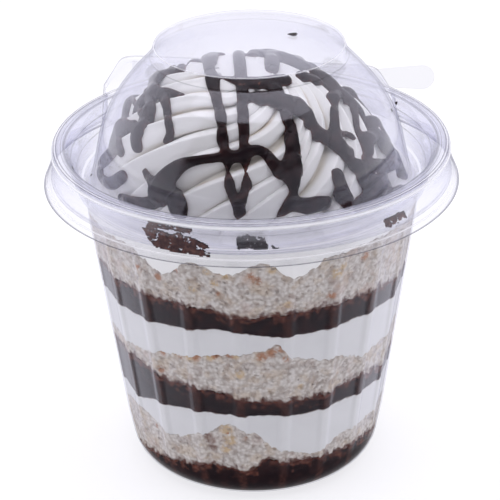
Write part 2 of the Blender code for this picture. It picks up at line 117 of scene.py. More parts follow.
# Hinge ledge, tear strip and pull tab
LEDGE_REACH, LEDGE_HALF_WIDTH, LEDGE_FLARE = 57.0, 36.0, 0.16
LEDGE_ANGLE = 49.0
LEDGE_CORNER = 2.4
LEDGE_DROOP, LEDGE_LIFT = 2.6, 1.8  # of its right end below the rim's top, and its left end above it
CUP_LEDGE_HEIGHT, CUP_LEDGE_INSET = 79.9, 0.8
STRIP_INSET, STRIP_THICKNESS, STRIP_HALF_WIDTH = 1.2, 0.6, 33.0
STRIP_LIFT_SHARE = 0.75  # of the ledge's lift at its left end that the strip follows
TAB_END, TAB_MIDDLE, TAB_HALF_HEIGHT, TAB_ROOT_HALF_HEIGHT = 52.5, 83.9, 3.6, 2.7

# Layers, from the bottom up: name, food, and azimuths and heights of its top against the wall
LAYERS = (
    ("fudge_bottom", "fudge", ((-73, 5), (-56, 7.5), (-35, 9), (-17, 11), (-4, 10), (6, 13.5), (14, 12),
                               (26, 11.5), (57, 10.4), (81, 7), (125, 9), (180, 10.5), (240, 8))),
    ("cake_bottom", "cake", ((-58, 21), (-38, 17.4), (-24, 21), (-11, 25.2), (-2, 22.5), (11, 16.2),
                             (25, 13.2), (43, 16.6), (67, 16.8), (110, 19), (160, 15), (210, 20),
                             (260, 17))),
    ("cream_lower", "cream", ((-60, 24.8), (-45, 27), (-20, 28.5), (8, 28.2), (21, 27.4), (40, 28),
                              (67, 26.9), (110, 27), (160, 28.5), (220, 26.5), (265, 25))),
    ("fudge_middle", "fudge", ((-57, 38), (-38, 35.8), (-16, 35), (-5, 33.1), (13, 32), (31, 31.6),
                               (43, 33.2), (68, 30.5), (110, 33), (160, 34.5), (210, 33), (260, 36))),
    ("cake_middle", "cake", ((-57, 41.4), (-31, 44.7), (-10, 47.4), (2, 48.4), (8, 50), (15, 45.5),
                             (30, 43), (49, 39.7), (65, 40.2), (110, 43), (160, 46), (220, 43), (265, 42))),
    ("cream_upper", "cream", ((-81, 52.9), (-45, 53.2), (-11, 55), (10, 52.8), (28, 52.8), (47, 53.1),
                              (67, 52), (110, 53), (160, 54), (220, 53), (250, 53))),
    ("fudge_upper", "fudge", ((-75, 60.6), (-32, 61), (-15, 60.8), (-7, 58.7), (9, 59.2), (31, 59.5),
                              (50, 59), (63, 57.5), (81, 55.5), (120, 58), (180, 60), (230, 60))),
    ("cake_upper", "cake", ((-70, 74), (-45, 74.5), (-33, 68.8), (-21, 74.5), (-9, 71.8), (3, 75),
                            (15, 70.2), (27, 74.5), (50, 75), (75, 74), (110, 73), (150, 75), (190, 71),
                            (230, 75), (260, 73))),
)
RIPPLES = {"cake": (0.75, 1.7), "cream": (0.35, 4.0)}  # height and size of a border's ripples
RIB_DIP = 0.3  # how much lower the fudge runs into the cream along the cup's ribs
BASE_HEIGHT = 0.45  # of the lowest layer's underside
LAYER_COLUMNS = 640
LAYER_STEP = 0.45  # between rows down the side

# Spots in the cake at the front, by where they are seen: across, down and half width in pixels
SPOTS = {
    "cake_upper": {
        "crust": ((251, 276, 5), (257, 281, 5.5), (218, 294, 2.4), (332, 296, 5.5), (158, 277, 5),
                  (365, 256, 6), (176, 268, 5.5), (138, 268, 5)),
        "amber": ((214, 284, 5), (225, 275, 6), (288, 304, 5), (272, 270, 5), (338, 273, 8), (344, 266, 5),
                  (206, 272, 4), (192, 289, 4)),
    },
    "cake_middle": {
        "crust": ((196, 357, 6), (163, 352, 5), (178, 355, 5.5), (216, 356, 5), (230, 355, 5),
                  (262, 357, 6.5), (272, 353, 6.5), (281, 349, 6), (286, 359, 4), (161, 369, 5)),
        "amber": ((188, 356, 6), (277, 344, 4), (210, 357, 6), (235, 356, 5), (300, 386, 4), (240, 375, 6)),
    },
    "cake_bottom": {
        "crust": ((207, 427, 3.5), (157, 426, 3), (246, 438, 2.5)),
        "amber": ((226, 430, 8), (230, 440, 8), (226, 449, 6)),
        "soaked": ((208, 436, 5), (211, 441, 5), (213, 447, 5)),
    },
}

# Smears of fudge between the lid's rim and the cup's, on the rim's inner wall and behind its skirt:
# how thin they are, then their outline as it is seen, across and down in pixels
RIM_SMEARS = (
    (0.0, ((236, 238), (248, 236), (264, 238), (268, 250), (262, 252), (252, 249), (237, 250))),
    (0.0, ((272, 247), (282, 249), (281, 253), (273, 252))),
)
SKIRT_SMEARS = (
    (1.0, ((384, 222), (396, 215), (405, 212), (406, 217), (396, 224), (387, 229))),
    (0.75, ((148, 221), (170, 225), (191, 229), (191, 235), (170, 231), (147, 227))),
    (1.0, ((142, 229), (150, 227), (160, 231), (172, 236), (178, 233), (186, 237), (197, 241), (208, 246),
           (209, 258), (190, 255), (172, 252), (155, 248), (148, 240))),
)
SMEAR_REACH, SMEAR_HEIGHTS = (-48.0, 70.0), (80.1, 89.2)  # azimuths and heights that hold them
SMEAR_STEP = 0.25
SMEAR_COVER = 0.5  # noise above this leaves a gap in the film
SMEAR_CLEARANCE = 0.02  # between the film and the sheets beside it
SMEAR_WOBBLE = 1.5  # pixels by which its outline is uneven

# Piped cream
SWIRL_RADIUS = 38.6
SWIRL_FOOT, SWIRL_TOP = 80.0, 111.0
SWIRL_FULLNESS = (1.6, 1.9)  # powers that bend its outline at the top and at the foot
SWIRL_LEAN = -3.0  # how far its top lies to the side of the axis
# Azimuths at the foot of the crests of its folds, and how far they turn on their way up
SWIRL_FEET = (-150, -115, -97, -79, -60, -42, -27, -13, 3, 24, 46, 70, 96, 122, 150, 180)
SWIRL_TURN, SWIRL_TURN_POWER = 150.0, 1.15
SWIRL_DEPTH = 4.7  # of the valleys between the folds
SWIRL_LIFT = 1.4  # of the folds' lips
WALL_END = 78.3  # height where the cream leaves the wall, then radii and heights up to the mound
SHELF = ((42.8, 78.75), (42.0, 78.9), (40.2, 79.2))
LIMB_COLUMNS, SWIRL_ROWS = 26, 120  # columns across each fold, and rows up the mound
LIP_SHARE = 0.12  # of a fold's width, from the valley over it to its lip
LIP_WIDTH = 0.14  # of the lifted part at a lip, as a share of its fold's
FOLD_SWAY = 3.4  # degrees by which a fold wanders on its way up
FOLD_LEAN, FOLD_LEVEL = 0.25, 22.0  # how much the folds rise away from that azimuth
LUMP_HEIGHT, LUMP_SIZE = 0.35, 9.0

# Fudge threads at the front, by where they are seen: points across, down and half width in pixels.
# Each lies on the cream behind its points.
THREADS_SEEN = (
    ((204, 55, 5), (208, 62, 5.5), (211, 74, 6), (213, 82, 7), (215, 92, 5.6), (219, 108, 5),
     (221, 118, 5.8), (222, 126, 4.2), (222.6, 139, 6), (225, 150, 4.4), (228, 161, 5.2), (227.8, 171, 1.8),
     (229.5, 184, 5.4), (233, 198, 4), (239, 208, 6), (240, 219, 6)),
    ((217, 50, 4.4), (213, 60, 5), (211, 68, 6)),
    ((238, 49, 5.5), (240, 67, 6), (242, 88, 6), (242.5, 107, 5.4), (243, 117, 5.8), (244, 133, 5.4),
     (244, 150, 4.2), (245.6, 160, 5.4), (245.8, 172, 1.6), (246.6, 185, 5.6), (243, 200, 3.8),
     (240, 207, 5)),
    ((284, 178, 9), (279, 171, 7), (272, 162, 6), (266, 154, 5), (259, 150, 5), (250, 151, 5.5),
     (240, 156, 6.6), (229, 156, 5), (219, 157.5, 4.5), (205, 159, 4.4), (194, 161, 4.8), (184, 164, 6.4),
     (176, 169, 8), (168, 177, 10), (164, 186, 13), (161, 195, 14), (158, 205, 12)),
    ((168, 190, 10), (176, 199, 10), (180, 211, 9.5), (184, 219, 7)),
    ((160, 200, 9), (146, 203, 6.4), (132, 201, 5.4), (119, 197, 5)),
    ((144, 168, 2.4), (146, 172, 3.4), (150, 179, 4.6), (157, 184, 7)),
    ((127, 173, 5.4), (121, 178, 6.6), (113, 183, 6.6), (106, 181, 5.4), (102, 173, 5), (103, 164, 6),
     (108, 158, 7), (114, 152, 6.4), (120, 147, 4)),
    ((172, 66, 7), (165, 70, 7), (159, 76, 7.5), (155, 81, 8), (154, 92, 7.5), (151, 106, 7.5),
     (148, 119, 8.5), (144, 129, 8)),
    ((160, 76, 7), (150, 80, 6.5), (144, 84, 3.5)),
    ((144, 128, 6), (134, 130, 6), (124, 131, 5.4), (119.5, 140, 5.2), (121, 150, 5), (124, 156, 5)),
    ((143, 128, 7), (137, 136, 7), (138, 147, 6.4), (139, 153, 7)),
    ((164, 95, 7), (167, 106, 4.6), (168.5, 120, 4.4), (170.5, 134, 4.4), (166, 143.5, 5.6)),
    ((133, 98, 2.8), (138, 108, 3.0), (143, 117, 3.4), (146, 124, 4.4)),
    ((134, 98, 3.0), (127, 107, 3.2), (125, 116, 2.8), (128, 123, 3.2), (138, 124, 4)),
    ((183, 96, 2.6), (170, 93, 4.6), (158, 94, 7)),
    ((205, 79, 3), (222, 78, 2), (238, 82, 5.5), (252, 84, 7.5), (266, 84, 8), (280, 82, 8), (292, 80, 6)),
    ((250, 96, 6.5), (258, 99, 7.5), (270, 100, 9), (284, 104, 10), (295, 106, 9.5), (303, 113, 8),
     (310, 124, 7.4), (318, 135, 7.6), (328, 139, 8), (338, 139, 7)),
    ((277, 88, 9), (274, 97, 9)),
    ((284, 110, 7), (287, 121, 7), (291, 132, 7), (292, 146, 8), (292, 162, 10), (292, 175, 11),
     (293, 185, 7), (293, 192, 4.6), (290, 201, 9.5), (284, 210, 11), (276, 217, 9)),
    ((290, 205, 9), (304, 206, 8.5), (316, 204, 8), (328, 202, 6.5)),
    ((304, 108, 7), (312, 122, 5), (318, 134, 5)),
    ((309, 73, 6), (316, 75, 6)),
    ((250, 57, 5), (264, 53, 6.5), (278, 56, 8.5), (292, 58, 8), (304, 64, 7), (316, 73, 6), (327, 82, 7),
     (333, 92, 8.5), (333, 104, 5.5), (334, 113, 4.5), (335, 124, 5), (335, 138, 7), (341, 150, 9),
     (352, 161, 10)),
    ((270, 46, 6), (272, 60, 7.5), (272, 74, 6.5)),
    ((286, 56, 7), (296, 62, 8), (303, 71, 7)),
    ((342, 100, 7), (350, 102, 4), (355, 114, 3.4), (357, 128, 3.2), (361, 141, 3.4), (364, 152, 3),
     (362, 161, 3.4)),
    ((341, 134, 3), (349, 135, 3), (356, 140, 2.4)),
    ((346, 147, 5), (350, 156, 6)),
    ((367, 119, 4), (371, 128, 7), (370, 136, 8), (368, 146, 6), (369, 158, 6)),
    ((374, 131, 6), (381, 139, 6), (387, 149, 7), (393, 156, 6.5), (398, 168, 6), (403, 180, 6)),
    ((352, 161, 9), (360, 169, 8), (370, 165, 6), (382, 167, 8), (395, 164, 5)),
    ((356, 168, 8), (362, 178, 10), (372, 186, 12), (388, 187, 9)),
    ((334, 168, 7), (337, 178, 8), (340, 188, 8.4), (344, 198, 8.6), (351, 206, 8)),
    ((404, 188, 5), (394, 195, 7), (380, 199, 9.5), (366, 201, 10), (352, 206, 7)),
    ((378, 174, 7), (386, 178, 6)),
)
# Threads at the back: azimuth, height and half width in millimetres
THREADS_BEHIND = (
    ((120, 109, 2.0), (112, 105, 1.8), (106, 100, 2.2), (108, 95, 1.4), (104, 89, 2.2)),
    ((84, 108, 2.2), (92, 102, 1.6), (88, 96, 2.4), (96, 90, 1.6), (92, 84.5, 2.4)),
    ((160, 110, 2.0), (150, 104, 1.6), (158, 97, 2.2), (150, 90, 1.8), (154, 85, 2.4)),
    ((200, 109, 2.0), (215, 103, 1.7), (208, 96, 2.0), (216, 88, 2.2)),
    ((-110, 108, 2.0), (-118, 101, 1.5), (-108, 95, 2.1), (-116, 87, 2.2)),
    ((104, 93, 1.8), (118, 95, 1.5), (132, 92, 2.0), (148, 95, 1.6)),
    ((216, 99, 1.8), (228, 97, 1.5), (238, 100, 2.0)),
    ((-84, 105, 1.8), (-92, 99, 1.5), (-86, 92, 2.0), (-92, 85, 2.0)),
)
# Specks of fudge on the lid, by where they are seen: across, down and half width in pixels
FLECKS = ((293, 34, 5), (396, 103, 1.8), (392, 110, 2.0), (73, 168, 2.2), (91, 175, 1.6))
FLECK_THICKNESS = 0.3
FLECK_COLUMNS = 20
BESIDE = 5.0  # how far beside the cream's outline a sight line may pass
THREAD_SIDES = 14
THREAD_STEP = 0.6
THREAD_VOXEL = 0.42
THREAD_SHRINKAGE = 0.22  # what smoothing takes off a thread's half width
THREAD_FLATNESS = 0.62  # height of a thread as a share of its width
THREAD_RISE = 0.27  # of its middle above the cream, as a share of half its height
THREAD_TAPER = 0.4  # how far beyond its last ring a thread's end would close
THREAD_STEPS = 30  # rays for each point of its route
THREAD_EVENING = 19  # rays over which its line is evened out
THIN_REACH = 0.6  # height over the cream in which sauce looks thin
DOME_CLEARANCE = 0.25  # between the threads and the lid


# Round shapes


def around(azimuth, radius, height):
    """Points at those azimuths in degrees, radii and heights, as an array with x, y and z last."""
    azimuth, radius, height = np.broadcast_arrays(azimuth, radius, height)
    angle = np.radians(azimuth)
    return np.stack((radius * np.sin(angle), -radius * np.cos(angle), height), -1)


def wrap(azimuth):
    return (azimuth + 180.0) % 360.0 - 180.0


def columns(count):
    return 360.0 * np.arange(count) / count


def unit(vectors):
    return vectors / np.linalg.norm(vectors, axis=1)[:, None]


def offset_right(path, distance):
    """The path moved sideways to the right of its own direction, as (radius, height) points."""
    path = np.array(path, float)
    steps = unit(np.diff(path, axis=0))
    normals = np.stack((steps[:, 1], -steps[:, 0]), 1)
    before = np.concatenate((normals[:1], normals))
    after = np.concatenate((normals, normals[-1:]))
    middle = unit(before + after)
    reach = distance / np.clip((middle * before).sum(1), 0.6, 1.0)
    moved = path + middle * reach[:, None]
    moved[path[:, 0] == 0.0, 0] = 0.0
    return moved


def rounded(path, radius, steps=4):
    """The path with each inner corner replaced by a short curve that starts radius before it."""
    path = [np.array(p, float) for p in path]
    line = [path[0]]
    for before, corner, after in zip(path, path[1:], path[2:]):
        back, ahead = before - corner, after - corner
        reach = min(radius, 0.45 * np.linalg.norm(back), 0.45 * np.linalg.norm(ahead))
        start = corner + back / np.linalg.norm(back) * reach
        end = corner + ahead / np.linalg.norm(ahead) * reach
        for t in np.linspace(0.0, 1.0, steps):
            line.append((1 - t) ** 2 * start + 2 * t * (1 - t) * corner + t**2 * end)
    return np.array(line + [path[-1]])


def smooth_step(low, high, value):
    t = np.clip((value - low) / (high - low), 0.0, 1.0)
    return t * t * (3.0 - 2.0 * t)


# Meshes


def add_object(name, points, faces, material, smooth=True):
    """A new object from millimetre points."""
    mesh = bpy.data.meshes.new(name)
    mesh.from_pydata((np.asarray(points) * MM).tolist(), [], faces)
    mesh.validate()
    mesh.update()
    if smooth:
        mesh.shade_smooth()
    if material is not None:
        mesh.materials.append(material)
    thing = bpy.data.objects.new(name, mesh)
    bpy.context.scene.collection.objects.link(thing)
    return thing


def grid_faces(rings, count, start=0):
    """Quads between rings of count points each, facing out where the rings go down the outside."""
    here = np.arange(rings - 1)[:, None] * count + np.arange(count) + start
    there = np.arange(rings - 1)[:, None] * count + (np.arange(count) + 1) % count + start
    return np.stack((here, here + count, there + count, there), -1).reshape(-1, 4).tolist()


def closed_rings(name, rings, material):
    """A closed solid over rings, an array of ring, column and coordinate, whose ends meet in points."""
    rings = np.asarray(rings, float)
    number, count = rings.shape[:2]
    points = np.concatenate((rings.reshape(-1, 3), rings[:1].mean(1), rings[-1:].mean(1)))
    faces = grid_faces(number, count)
    top, bottom = number * count, number * count + 1
    last = (number - 1) * count
    for i in range(count):
        j = (i + 1) % count
        faces.append((top, i, j))
        faces.append((bottom, last + j, last + i))
    return add_object(name, points, faces, material)


def keep(piece, slot, *nodes):
    """The piece rides on the one body and stands for those nodes. Its slot is not used."""
    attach(piece, "root")
    if nodes:
        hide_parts(*nodes)
    return piece


# Materials


class Shader:
    """The node tree of a material or a world, with short calls for its usual nodes."""

    def __init__(self, owner, output="ShaderNodeOutputMaterial"):
        owner.use_nodes = True
        self.owner = owner
        self.tree = owner.node_tree
        self.tree.nodes.clear()
        self.output = self.node(output)

    def node(self, kind, **settings):
        made = self.tree.nodes.new(kind)
        for key, value in settings.items():
            setattr(made, key, value)
        return made

    def link(self, source, socket):
        self.tree.links.new(source, socket)

    def feed(self, socket, value):
        """The socket takes a value, a colour of three shares, or what comes from another socket."""
        if isinstance(value, bpy.types.NodeSocket):
            self.link(value, socket)
        elif socket.type == "RGBA":
            socket.default_value = (*value, 1.0)
        else:
            socket.default_value = value

    def surface(self, shader):
        self.link(shader.outputs[0], self.output.inputs["Surface"])

    def math(self, operation, a, b=0.0):
        made = self.node("ShaderNodeMath", operation=operation)
        self.feed(made.inputs[0], a)
        self.feed(made.inputs[1], b)
        return made.outputs[0]

    def times(self, a, b):
        return self.math("MULTIPLY", a, b)

    def plus(self, a, b):
        return self.math("ADD", a, b)

    def most(self, a, b):
        return self.math("MAXIMUM", a, b)

    def length(self, a, b):
        return self.math("SQRT", self.plus(self.times(a, a), self.times(b, b)))

    def mix(self, factor, a, b):
        made = self.node("ShaderNodeMix", data_type="RGBA")
        self.feed(made.inputs["Factor"], factor)
        self.feed(made.inputs["A"], a)
        self.feed(made.inputs["B"], b)
        return made.outputs["Result"]

    def coats(self, colour, *coats):
        """The colour under coats: each a mask, how much of it counts, and a colour."""
        for mask, amount, coat in coats:
            colour = self.mix(self.times(mask, amount), colour, coat)
        return colour

    def ramp(self, value, low, high, start=0.0, end=1.0):
        """From start, where the value is low, smoothly to end, where it is high."""
        made = self.node("ShaderNodeMapRange", interpolation_type="SMOOTHSTEP")
        ends = {"Value": value, "From Min": low, "From Max": high, "To Min": start, "To Max": end}
        for name, number in ends.items():
            self.feed(made.inputs[name], number)
        return made.outputs["Result"]

    def place(self):
        return self.node("ShaderNodeTexCoord").outputs["Object"]

    def apart(self, vector):
        """The vector's x, y and z."""
        made = self.node("ShaderNodeSeparateXYZ")
        self.link(vector, made.inputs[0])
        return made.outputs

    def noise(self, size, detail=2.0, roughness=0.5):
        """Noise whose features are about size millimetres across."""
        made = self.node("ShaderNodeTexNoise")
        self.link(self.place(), made.inputs["Vector"])
        made.inputs["Scale"].default_value = 1.0 / (size * MM)
        made.inputs["Detail"].default_value = detail
        made.inputs["Roughness"].default_value = roughness
        return made.outputs["Fac"]

    def cells(self, size, feature="F1"):
        made = self.node("ShaderNodeTexVoronoi", feature=feature)
        self.link(self.place(), made.inputs["Vector"])
        made.inputs["Scale"].default_value = 1.0 / (size * MM)
        return made

    def attribute(self, name):
        made = self.node("ShaderNodeAttribute", attribute_name=name)
        return made.outputs["Fac"]

    def bump(self, height, distance, strength=1.0):
        made = self.node("ShaderNodeBump")
        made.inputs["Distance"].default_value = distance * MM
        made.inputs["Strength"].default_value = strength
        self.link(height, made.inputs["Height"])
        return made.outputs["Normal"]

    def ring_lines(self, lines):
        """Share of the surface under rings round the axis: radius, height, half width and share."""
        x, y, height = self.apart(self.place())
        radius = self.length(x, y)
        total = 0.0
        for ring_radius, ring_height, half_width, share in lines:
            across = self.math("SUBTRACT", radius, ring_radius * MM)
            up = self.math("SUBTRACT", height, ring_height * MM)
            line = self.ramp(self.length(across, up), half_width * MM, 0.0)
            total = self.most(total, self.times(line, share))
        return total

    def mix_shader(self, factor, a, b):
        made = self.node("ShaderNodeMixShader")
        self.feed(made.inputs["Fac"], factor)
        self.link(a.outputs[0], made.inputs[1])
        self.link(b.outputs[0], made.inputs[2])
        return made

    def shader(self, kind, inputs):
        """A shader, with values or sockets by the names of its inputs."""
        made = self.node(kind)
        for key, value in inputs.items():
            self.feed(made.inputs[key], value)
        return made


def new_material(name):
    return Shader(bpy.data.materials.new(name))


def clear_plastic(name, gloss, glare, power, grain, tint):
    """Thin clear sheet: gloss that grows with the angle, painted shade that darkens it where seen along the
    sheet, and painted dark and bright lines along its bends and edge.
    """
    s = new_material(name)
    facing = s.shader("ShaderNodeLayerWeight", {"Blend": 0.5})
    angle = facing.outputs["Facing"]
    rise = s.times(s.math("POWER", angle, power), glare)
    dry = s.ramp(s.apart(s.place())[2], WET_FOOT[0] * MM, WET_FOOT[1] * MM)
    share = s.times(s.math("MINIMUM", s.plus(rise, gloss), MOST_GLOSS), dry)
    # Towards grazing angles what passes through darkens: partly the sheet's own tint over the longer way
    # through it, mostly painted shade for the dark that its curves refract
    through = s.mix(s.math("POWER", angle, GRAZING_POWER), tint, GRAZING_SHADE_TINT)
    # Painted shade along the sheet's free edge
    edge = s.times(s.attribute("edge"), 0.75)
    # Painted shade along the bends' dark lines and the free edge: what passes through is darkened there
    through = s.mix(s.most(s.ring_lines(PAINTED_SHADE_LINES), edge), through, EDGE_SHADE_TINT)
    clear = s.shader("ShaderNodeBsdfTransparent", {"Color": through})
    uneven = s.bump(s.noise(grain, 1.0), 0.02)
    mirror = {"Color": (0.91, 0.91, 1.0), "Roughness": 0.05, "Normal": uneven}
    shine = s.shader("ShaderNodeBsdfGlossy", mirror)
    # Painted highlight along the bends' bright lines: a white diffuse share of the sheet
    painted_highlight = s.shader("ShaderNodeBsdfDiffuse", {"Color": (0.95, 0.95, 0.97)})
    sheet = s.mix_shader(share, clear, shine)
    s.surface(s.mix_shader(s.ring_lines(PAINTED_HIGHLIGHT_LINES), sheet, painted_highlight))
    return s.owner


def matter(s, inputs):
    """Finishes the material as one opaque surface."""
    s.surface(s.shader("ShaderNodeBsdfPrincipled", inputs))
    return s.owner


def cream_material(name, pale, dull):
    """Cream, with painted warm shade deep in its folds, and brown where fudge runs into it."""
    s = new_material(name)
    cloud = s.ramp(s.noise(7.0, 3.0), 0.35, 0.7)
    hollow = s.mix(s.ramp(s.noise(9.0, 1.0), 0.5, 0.62), (0.62, 0.56, 0.46), (0.42, 0.29, 0.16))
    colour = s.coats(
        pale,
        (cloud, 0.4, dull),
        # Painted shade: warm tan to brown where the folds' valleys are deepest
        (s.ramp(s.attribute("valley"), 0.45, 1.0), 0.75, hollow),
        (s.attribute("stain"), 1.0, (0.10, 0.035, 0.022)),
    )
    return matter(s, {"Base Color": colour, "Roughness": 0.5, "Normal": s.bump(s.noise(0.9), 0.05, 0.6)})


def fudge_material(name, gloss, rough):
    """Dark fudge, redder where it is thin, and redder as painted light along the cup's ribs."""
    s = new_material(name)
    blotch = s.ramp(s.noise(3.0, 3.0), 0.4, 0.75)
    dark = s.mix(blotch, (0.011, 0.005, 0.007), (0.026, 0.010, 0.011))
    thin_and_rib_light = s.mix(s.ramp(s.noise(1.3, 3.0, 0.6), 0.35, 0.7), (0.05, 0.016, 0.013), (0.15, 0.055, 0.04))
    return matter(s, {
        "Base Color": s.mix(s.ramp(s.attribute("thin_and_rib_light"), 0.1, 1.0), dark, thin_and_rib_light),
        "Roughness": s.plus(s.times(s.noise(2.0), 0.2), 0.1),
        "Specular IOR Level": gloss,
        "Normal": s.bump(s.noise(2.2), rough, 0.8),
    })


def cake_material(name):
    """Pale crumb with fine pores, tan and pink patches, baked bits and what soaks in at the borders, with
    painted shade between the crumbs, in the pores and in the sunk pits.
    """
    s = new_material(name)
    crumb = s.cells(0.95, "SMOOTH_F1").outputs["Distance"]
    fine = s.noise(0.5, 3.0, 0.65)
    pore = s.ramp(s.noise(0.9, 2.0, 0.6), 0.63, 0.72)
    tan = s.ramp(s.noise(4.5, 3.0, 0.6), 0.48, 0.66)
    pink = s.ramp(s.noise(6.5, 3.0, 0.6), 0.54, 0.70)
    crust = s.ramp(s.noise(3.2, 4.0, 0.65), 0.69, 0.75)
    rough = s.ramp(s.noise(1.4, 3.0, 0.7), 0.36, 0.54)
    partly = s.plus(s.times(rough, 0.4), 0.5)
    colour = s.coats(
        (0.68, 0.645, 0.615),
        # Painted shade: darker towards the edges of the crumbs, where they sink
        (s.ramp(crumb, 0.2, 0.75), 1.0, (0.43, 0.38, 0.345)),
        (s.ramp(fine, 0.45, 0.72), 0.25, (0.33, 0.275, 0.245)),
        (tan, 0.42, (0.52, 0.39, 0.26)),
        (pink, 0.35, (0.49, 0.345, 0.305)),
        # Painted shade in the pores and in the sunk pits
        (pore, 0.45, (0.30, 0.21, 0.17)),
        (s.attribute("pit_shade"), 0.35, (0.40, 0.29, 0.22)),
        (s.times(s.attribute("amber"), rough), 0.8, (0.57, 0.41, 0.23)),
        (s.times(s.attribute("soaked"), partly), 1.0, (0.16, 0.08, 0.06)),
        (s.most(crust, s.times(s.attribute("crust"), rough)), 0.8, (0.36, 0.14, 0.055)),
        (s.attribute("stain"), 1.0, (0.10, 0.036, 0.026)),
    )
    height = s.math("SUBTRACT", s.times(fine, 0.6), s.plus(crumb, pore))
    return matter(s, {"Base Color": colour, "Roughness": 0.9, "Normal": s.bump(height, 0.28, 0.8)})


def floor_material():
    return matter(new_material("pale_floor"), {
        "Base Color": (0.25, 0.25, 0.25),
        "Roughness": 0.9,
        "Emission Color": (0.97, 0.965, 1.0),
        "Emission Strength": 0.79,
    })


# The cup, the lid and the tear strip


def tangent_angle():
    across, up = MOUTH_RADIUS - BASE_RADIUS, MOUTH_HEIGHT - CORNER_RADIUS
    return math.atan2(up, across) - math.acos(CORNER_RADIUS / math.hypot(across, up))


def wall_radius(height, depth=0.0):
    """Radius of the cup's outside at those heights, or of a surface that lies depth inside it."""
    height = np.asarray(height, float)
    angle = tangent_angle()
    inner = CORNER_RADIUS - depth
    foot = CORNER_RADIUS + inner * math.sin(angle)
    line = BASE_RADIUS + inner * math.cos(angle) + (height - foot) * math.tan(-angle)
    drop = np.clip(CORNER_RADIUS - height, 0.0, inner)
    return np.where(height < foot, BASE_RADIUS + np.sqrt(inner**2 - drop**2), line)


def ledge_reach(azimuth, inset=0.0):
    """Distance from the axis to the hinge ledge's outline, or None beside the ledge."""
    turn = math.radians(abs(wrap(azimuth - 180.0)))
    if math.degrees(turn) > LEDGE_ANGLE:
        return None
    back = (LEDGE_REACH - inset) / math.cos(turn)
    side = (LEDGE_HALF_WIDTH - inset + LEDGE_FLARE * LEDGE_REACH) / (
        math.sin(turn) + LEDGE_FLARE * math.cos(turn)
    )
    # A smooth smaller of the two rounds the corner
    return -LEDGE_CORNER * math.log(math.exp(-back / LEDGE_CORNER) + math.exp(-side / LEDGE_CORNER))


def ledge_drop(x):
    """How far the edge of the lid's ledge lies below the rim's top, at that place across it."""
    share = np.clip(0.5 + 0.5 * x / LEDGE_HALF_WIDTH, 0.0, 1.0)
    return LEDGE_DROOP * share - LEDGE_LIFT * (1.0 - share)


def lid_path(azimuth):
    """The lid's outer surface from the top's centre to the edge of its skirt or ledge."""
    crown = rounded([(0.0, TOTAL_HEIGHT), *DOME[:3]], 0.35)[:-1]
    side = [np.array(point) for point in DOME[1:]]
    dome = [smooth_curve(side, at) for at in np.linspace(1.0, len(side) - 1.0, 21)]
    slope = [crown[-1] + (dome[0] - crown[-1]) * share for share in (0.45, 0.7, 0.9)]
    foot = rounded([dome[-1], *GUTTER, *RIM[: RIM_FLAT_END + 1]], 0.6)[1:]
    inner = np.concatenate((crown, slope, dome, foot))
    start, top = RIM[RIM_FLAT_END]
    skirt = rounded(RIM[RIM_FLAT_END:], 0.6)[1:]
    reach = ledge_reach(azimuth)
    if reach is None:
        return np.concatenate((inner, skirt))
    share = np.linspace(0.0, 1.0, len(skirt) + 1)[1:]
    radius = start + (reach - start) * share
    across = around(azimuth, radius, top)[:, 0]
    bead = 0.5 * np.exp(-(((share - 0.9) / 0.05) ** 2))
    ledge = np.stack((radius, top - ledge_drop(across) * share - bead), 1)
    return np.concatenate((inner, ledge))


def cup_rim():
    """The cup's rim under the lid's: the same line, one sheet and one gap lower."""
    rim = offset_right(RIM, SHEET + GAP)
    share = (rim[-2][1] - LIP_HEIGHT) / (rim[-2][1] - rim[-1][1])
    return [*rim[:-1], rim[-2] + (rim[-1] - rim[-2]) * share]


def from_rib(azimuth):
    """Degrees to the middle of the nearest rib."""
    half = FLUTE_PITCH / 2
    return np.abs((azimuth - FIRST_FLUTE + half) % FLUTE_PITCH - half)


def flute(azimuth, height):
    """How far the wall's ribs stand out there, and how far the panels between them lie in."""
    away = from_rib(azimuth)
    rise = smooth_step(FLUTE_FOOT, FLUTE_FULL, height) * smooth_step(FLUTE_TOP, FLUTE_TOP - 2.0, height)
    hollow = PANEL_HOLLOW * np.sin(math.pi * away / FLUTE_PITCH) ** 2
    return rise * (FLUTE_DEPTH * smooth_step(*FLUTE_FLANK, away) - hollow)


def fluted_columns():
    """Azimuths round the cup, close together on the flanks of its ribs."""
    foot, top = FLUTE_FLANK
    side = np.concatenate((np.linspace(0.0, top, 3)[1:], np.linspace(top, foot, 5)[1:], (4.4, 5.6, 7.2)))
    steps = np.concatenate((-side[::-1], (0.0,), side, (FLUTE_PITCH / 2,)))
    return (FIRST_FLUTE + FLUTE_PITCH * np.arange(FLUTES)[:, None] + steps).ravel()


def cup_path(azimuth):
    """The cup's inner surface from the floor's centre, up the wall and over to the lip's edge."""
    angle = tangent_angle()
    inner = CORNER_RADIUS - SHEET
    turns = np.linspace(-math.pi / 2, angle, 9)
    corner = np.stack((BASE_RADIUS + inner * np.cos(turns), CORNER_RADIUS + inner * np.sin(turns)), 1)
    heights = np.concatenate((np.linspace(8.5, FLUTE_FULL, 6), np.linspace(18.0, FLUTE_TOP, 14), (77.5,)))
    wall = np.stack((wall_radius(heights, SHEET) + flute(azimuth, heights), heights), 1)
    rim = cup_rim()
    upper = rounded([wall[-1], *SHOULDER, *rim[:-1]], 0.6)[1:]
    edge = rim[-1]
    reach = ledge_reach(azimuth, CUP_LEDGE_INSET)
    if reach is None:
        ends = np.linspace(upper[-1], edge, 5)[1:]
    else:
        bend = np.array((edge[0] - 0.4, CUP_LEDGE_HEIGHT + 0.7))
        ledge = ((reach - 2.0, bend[1]), (reach, bend[1] - 0.1))
        ends = np.array((bend + (0.0, 0.5), bend + (0.3, 0.0), *ledge))
    return np.concatenate(([(0.0, SHEET)], corner, wall, upper, ends))


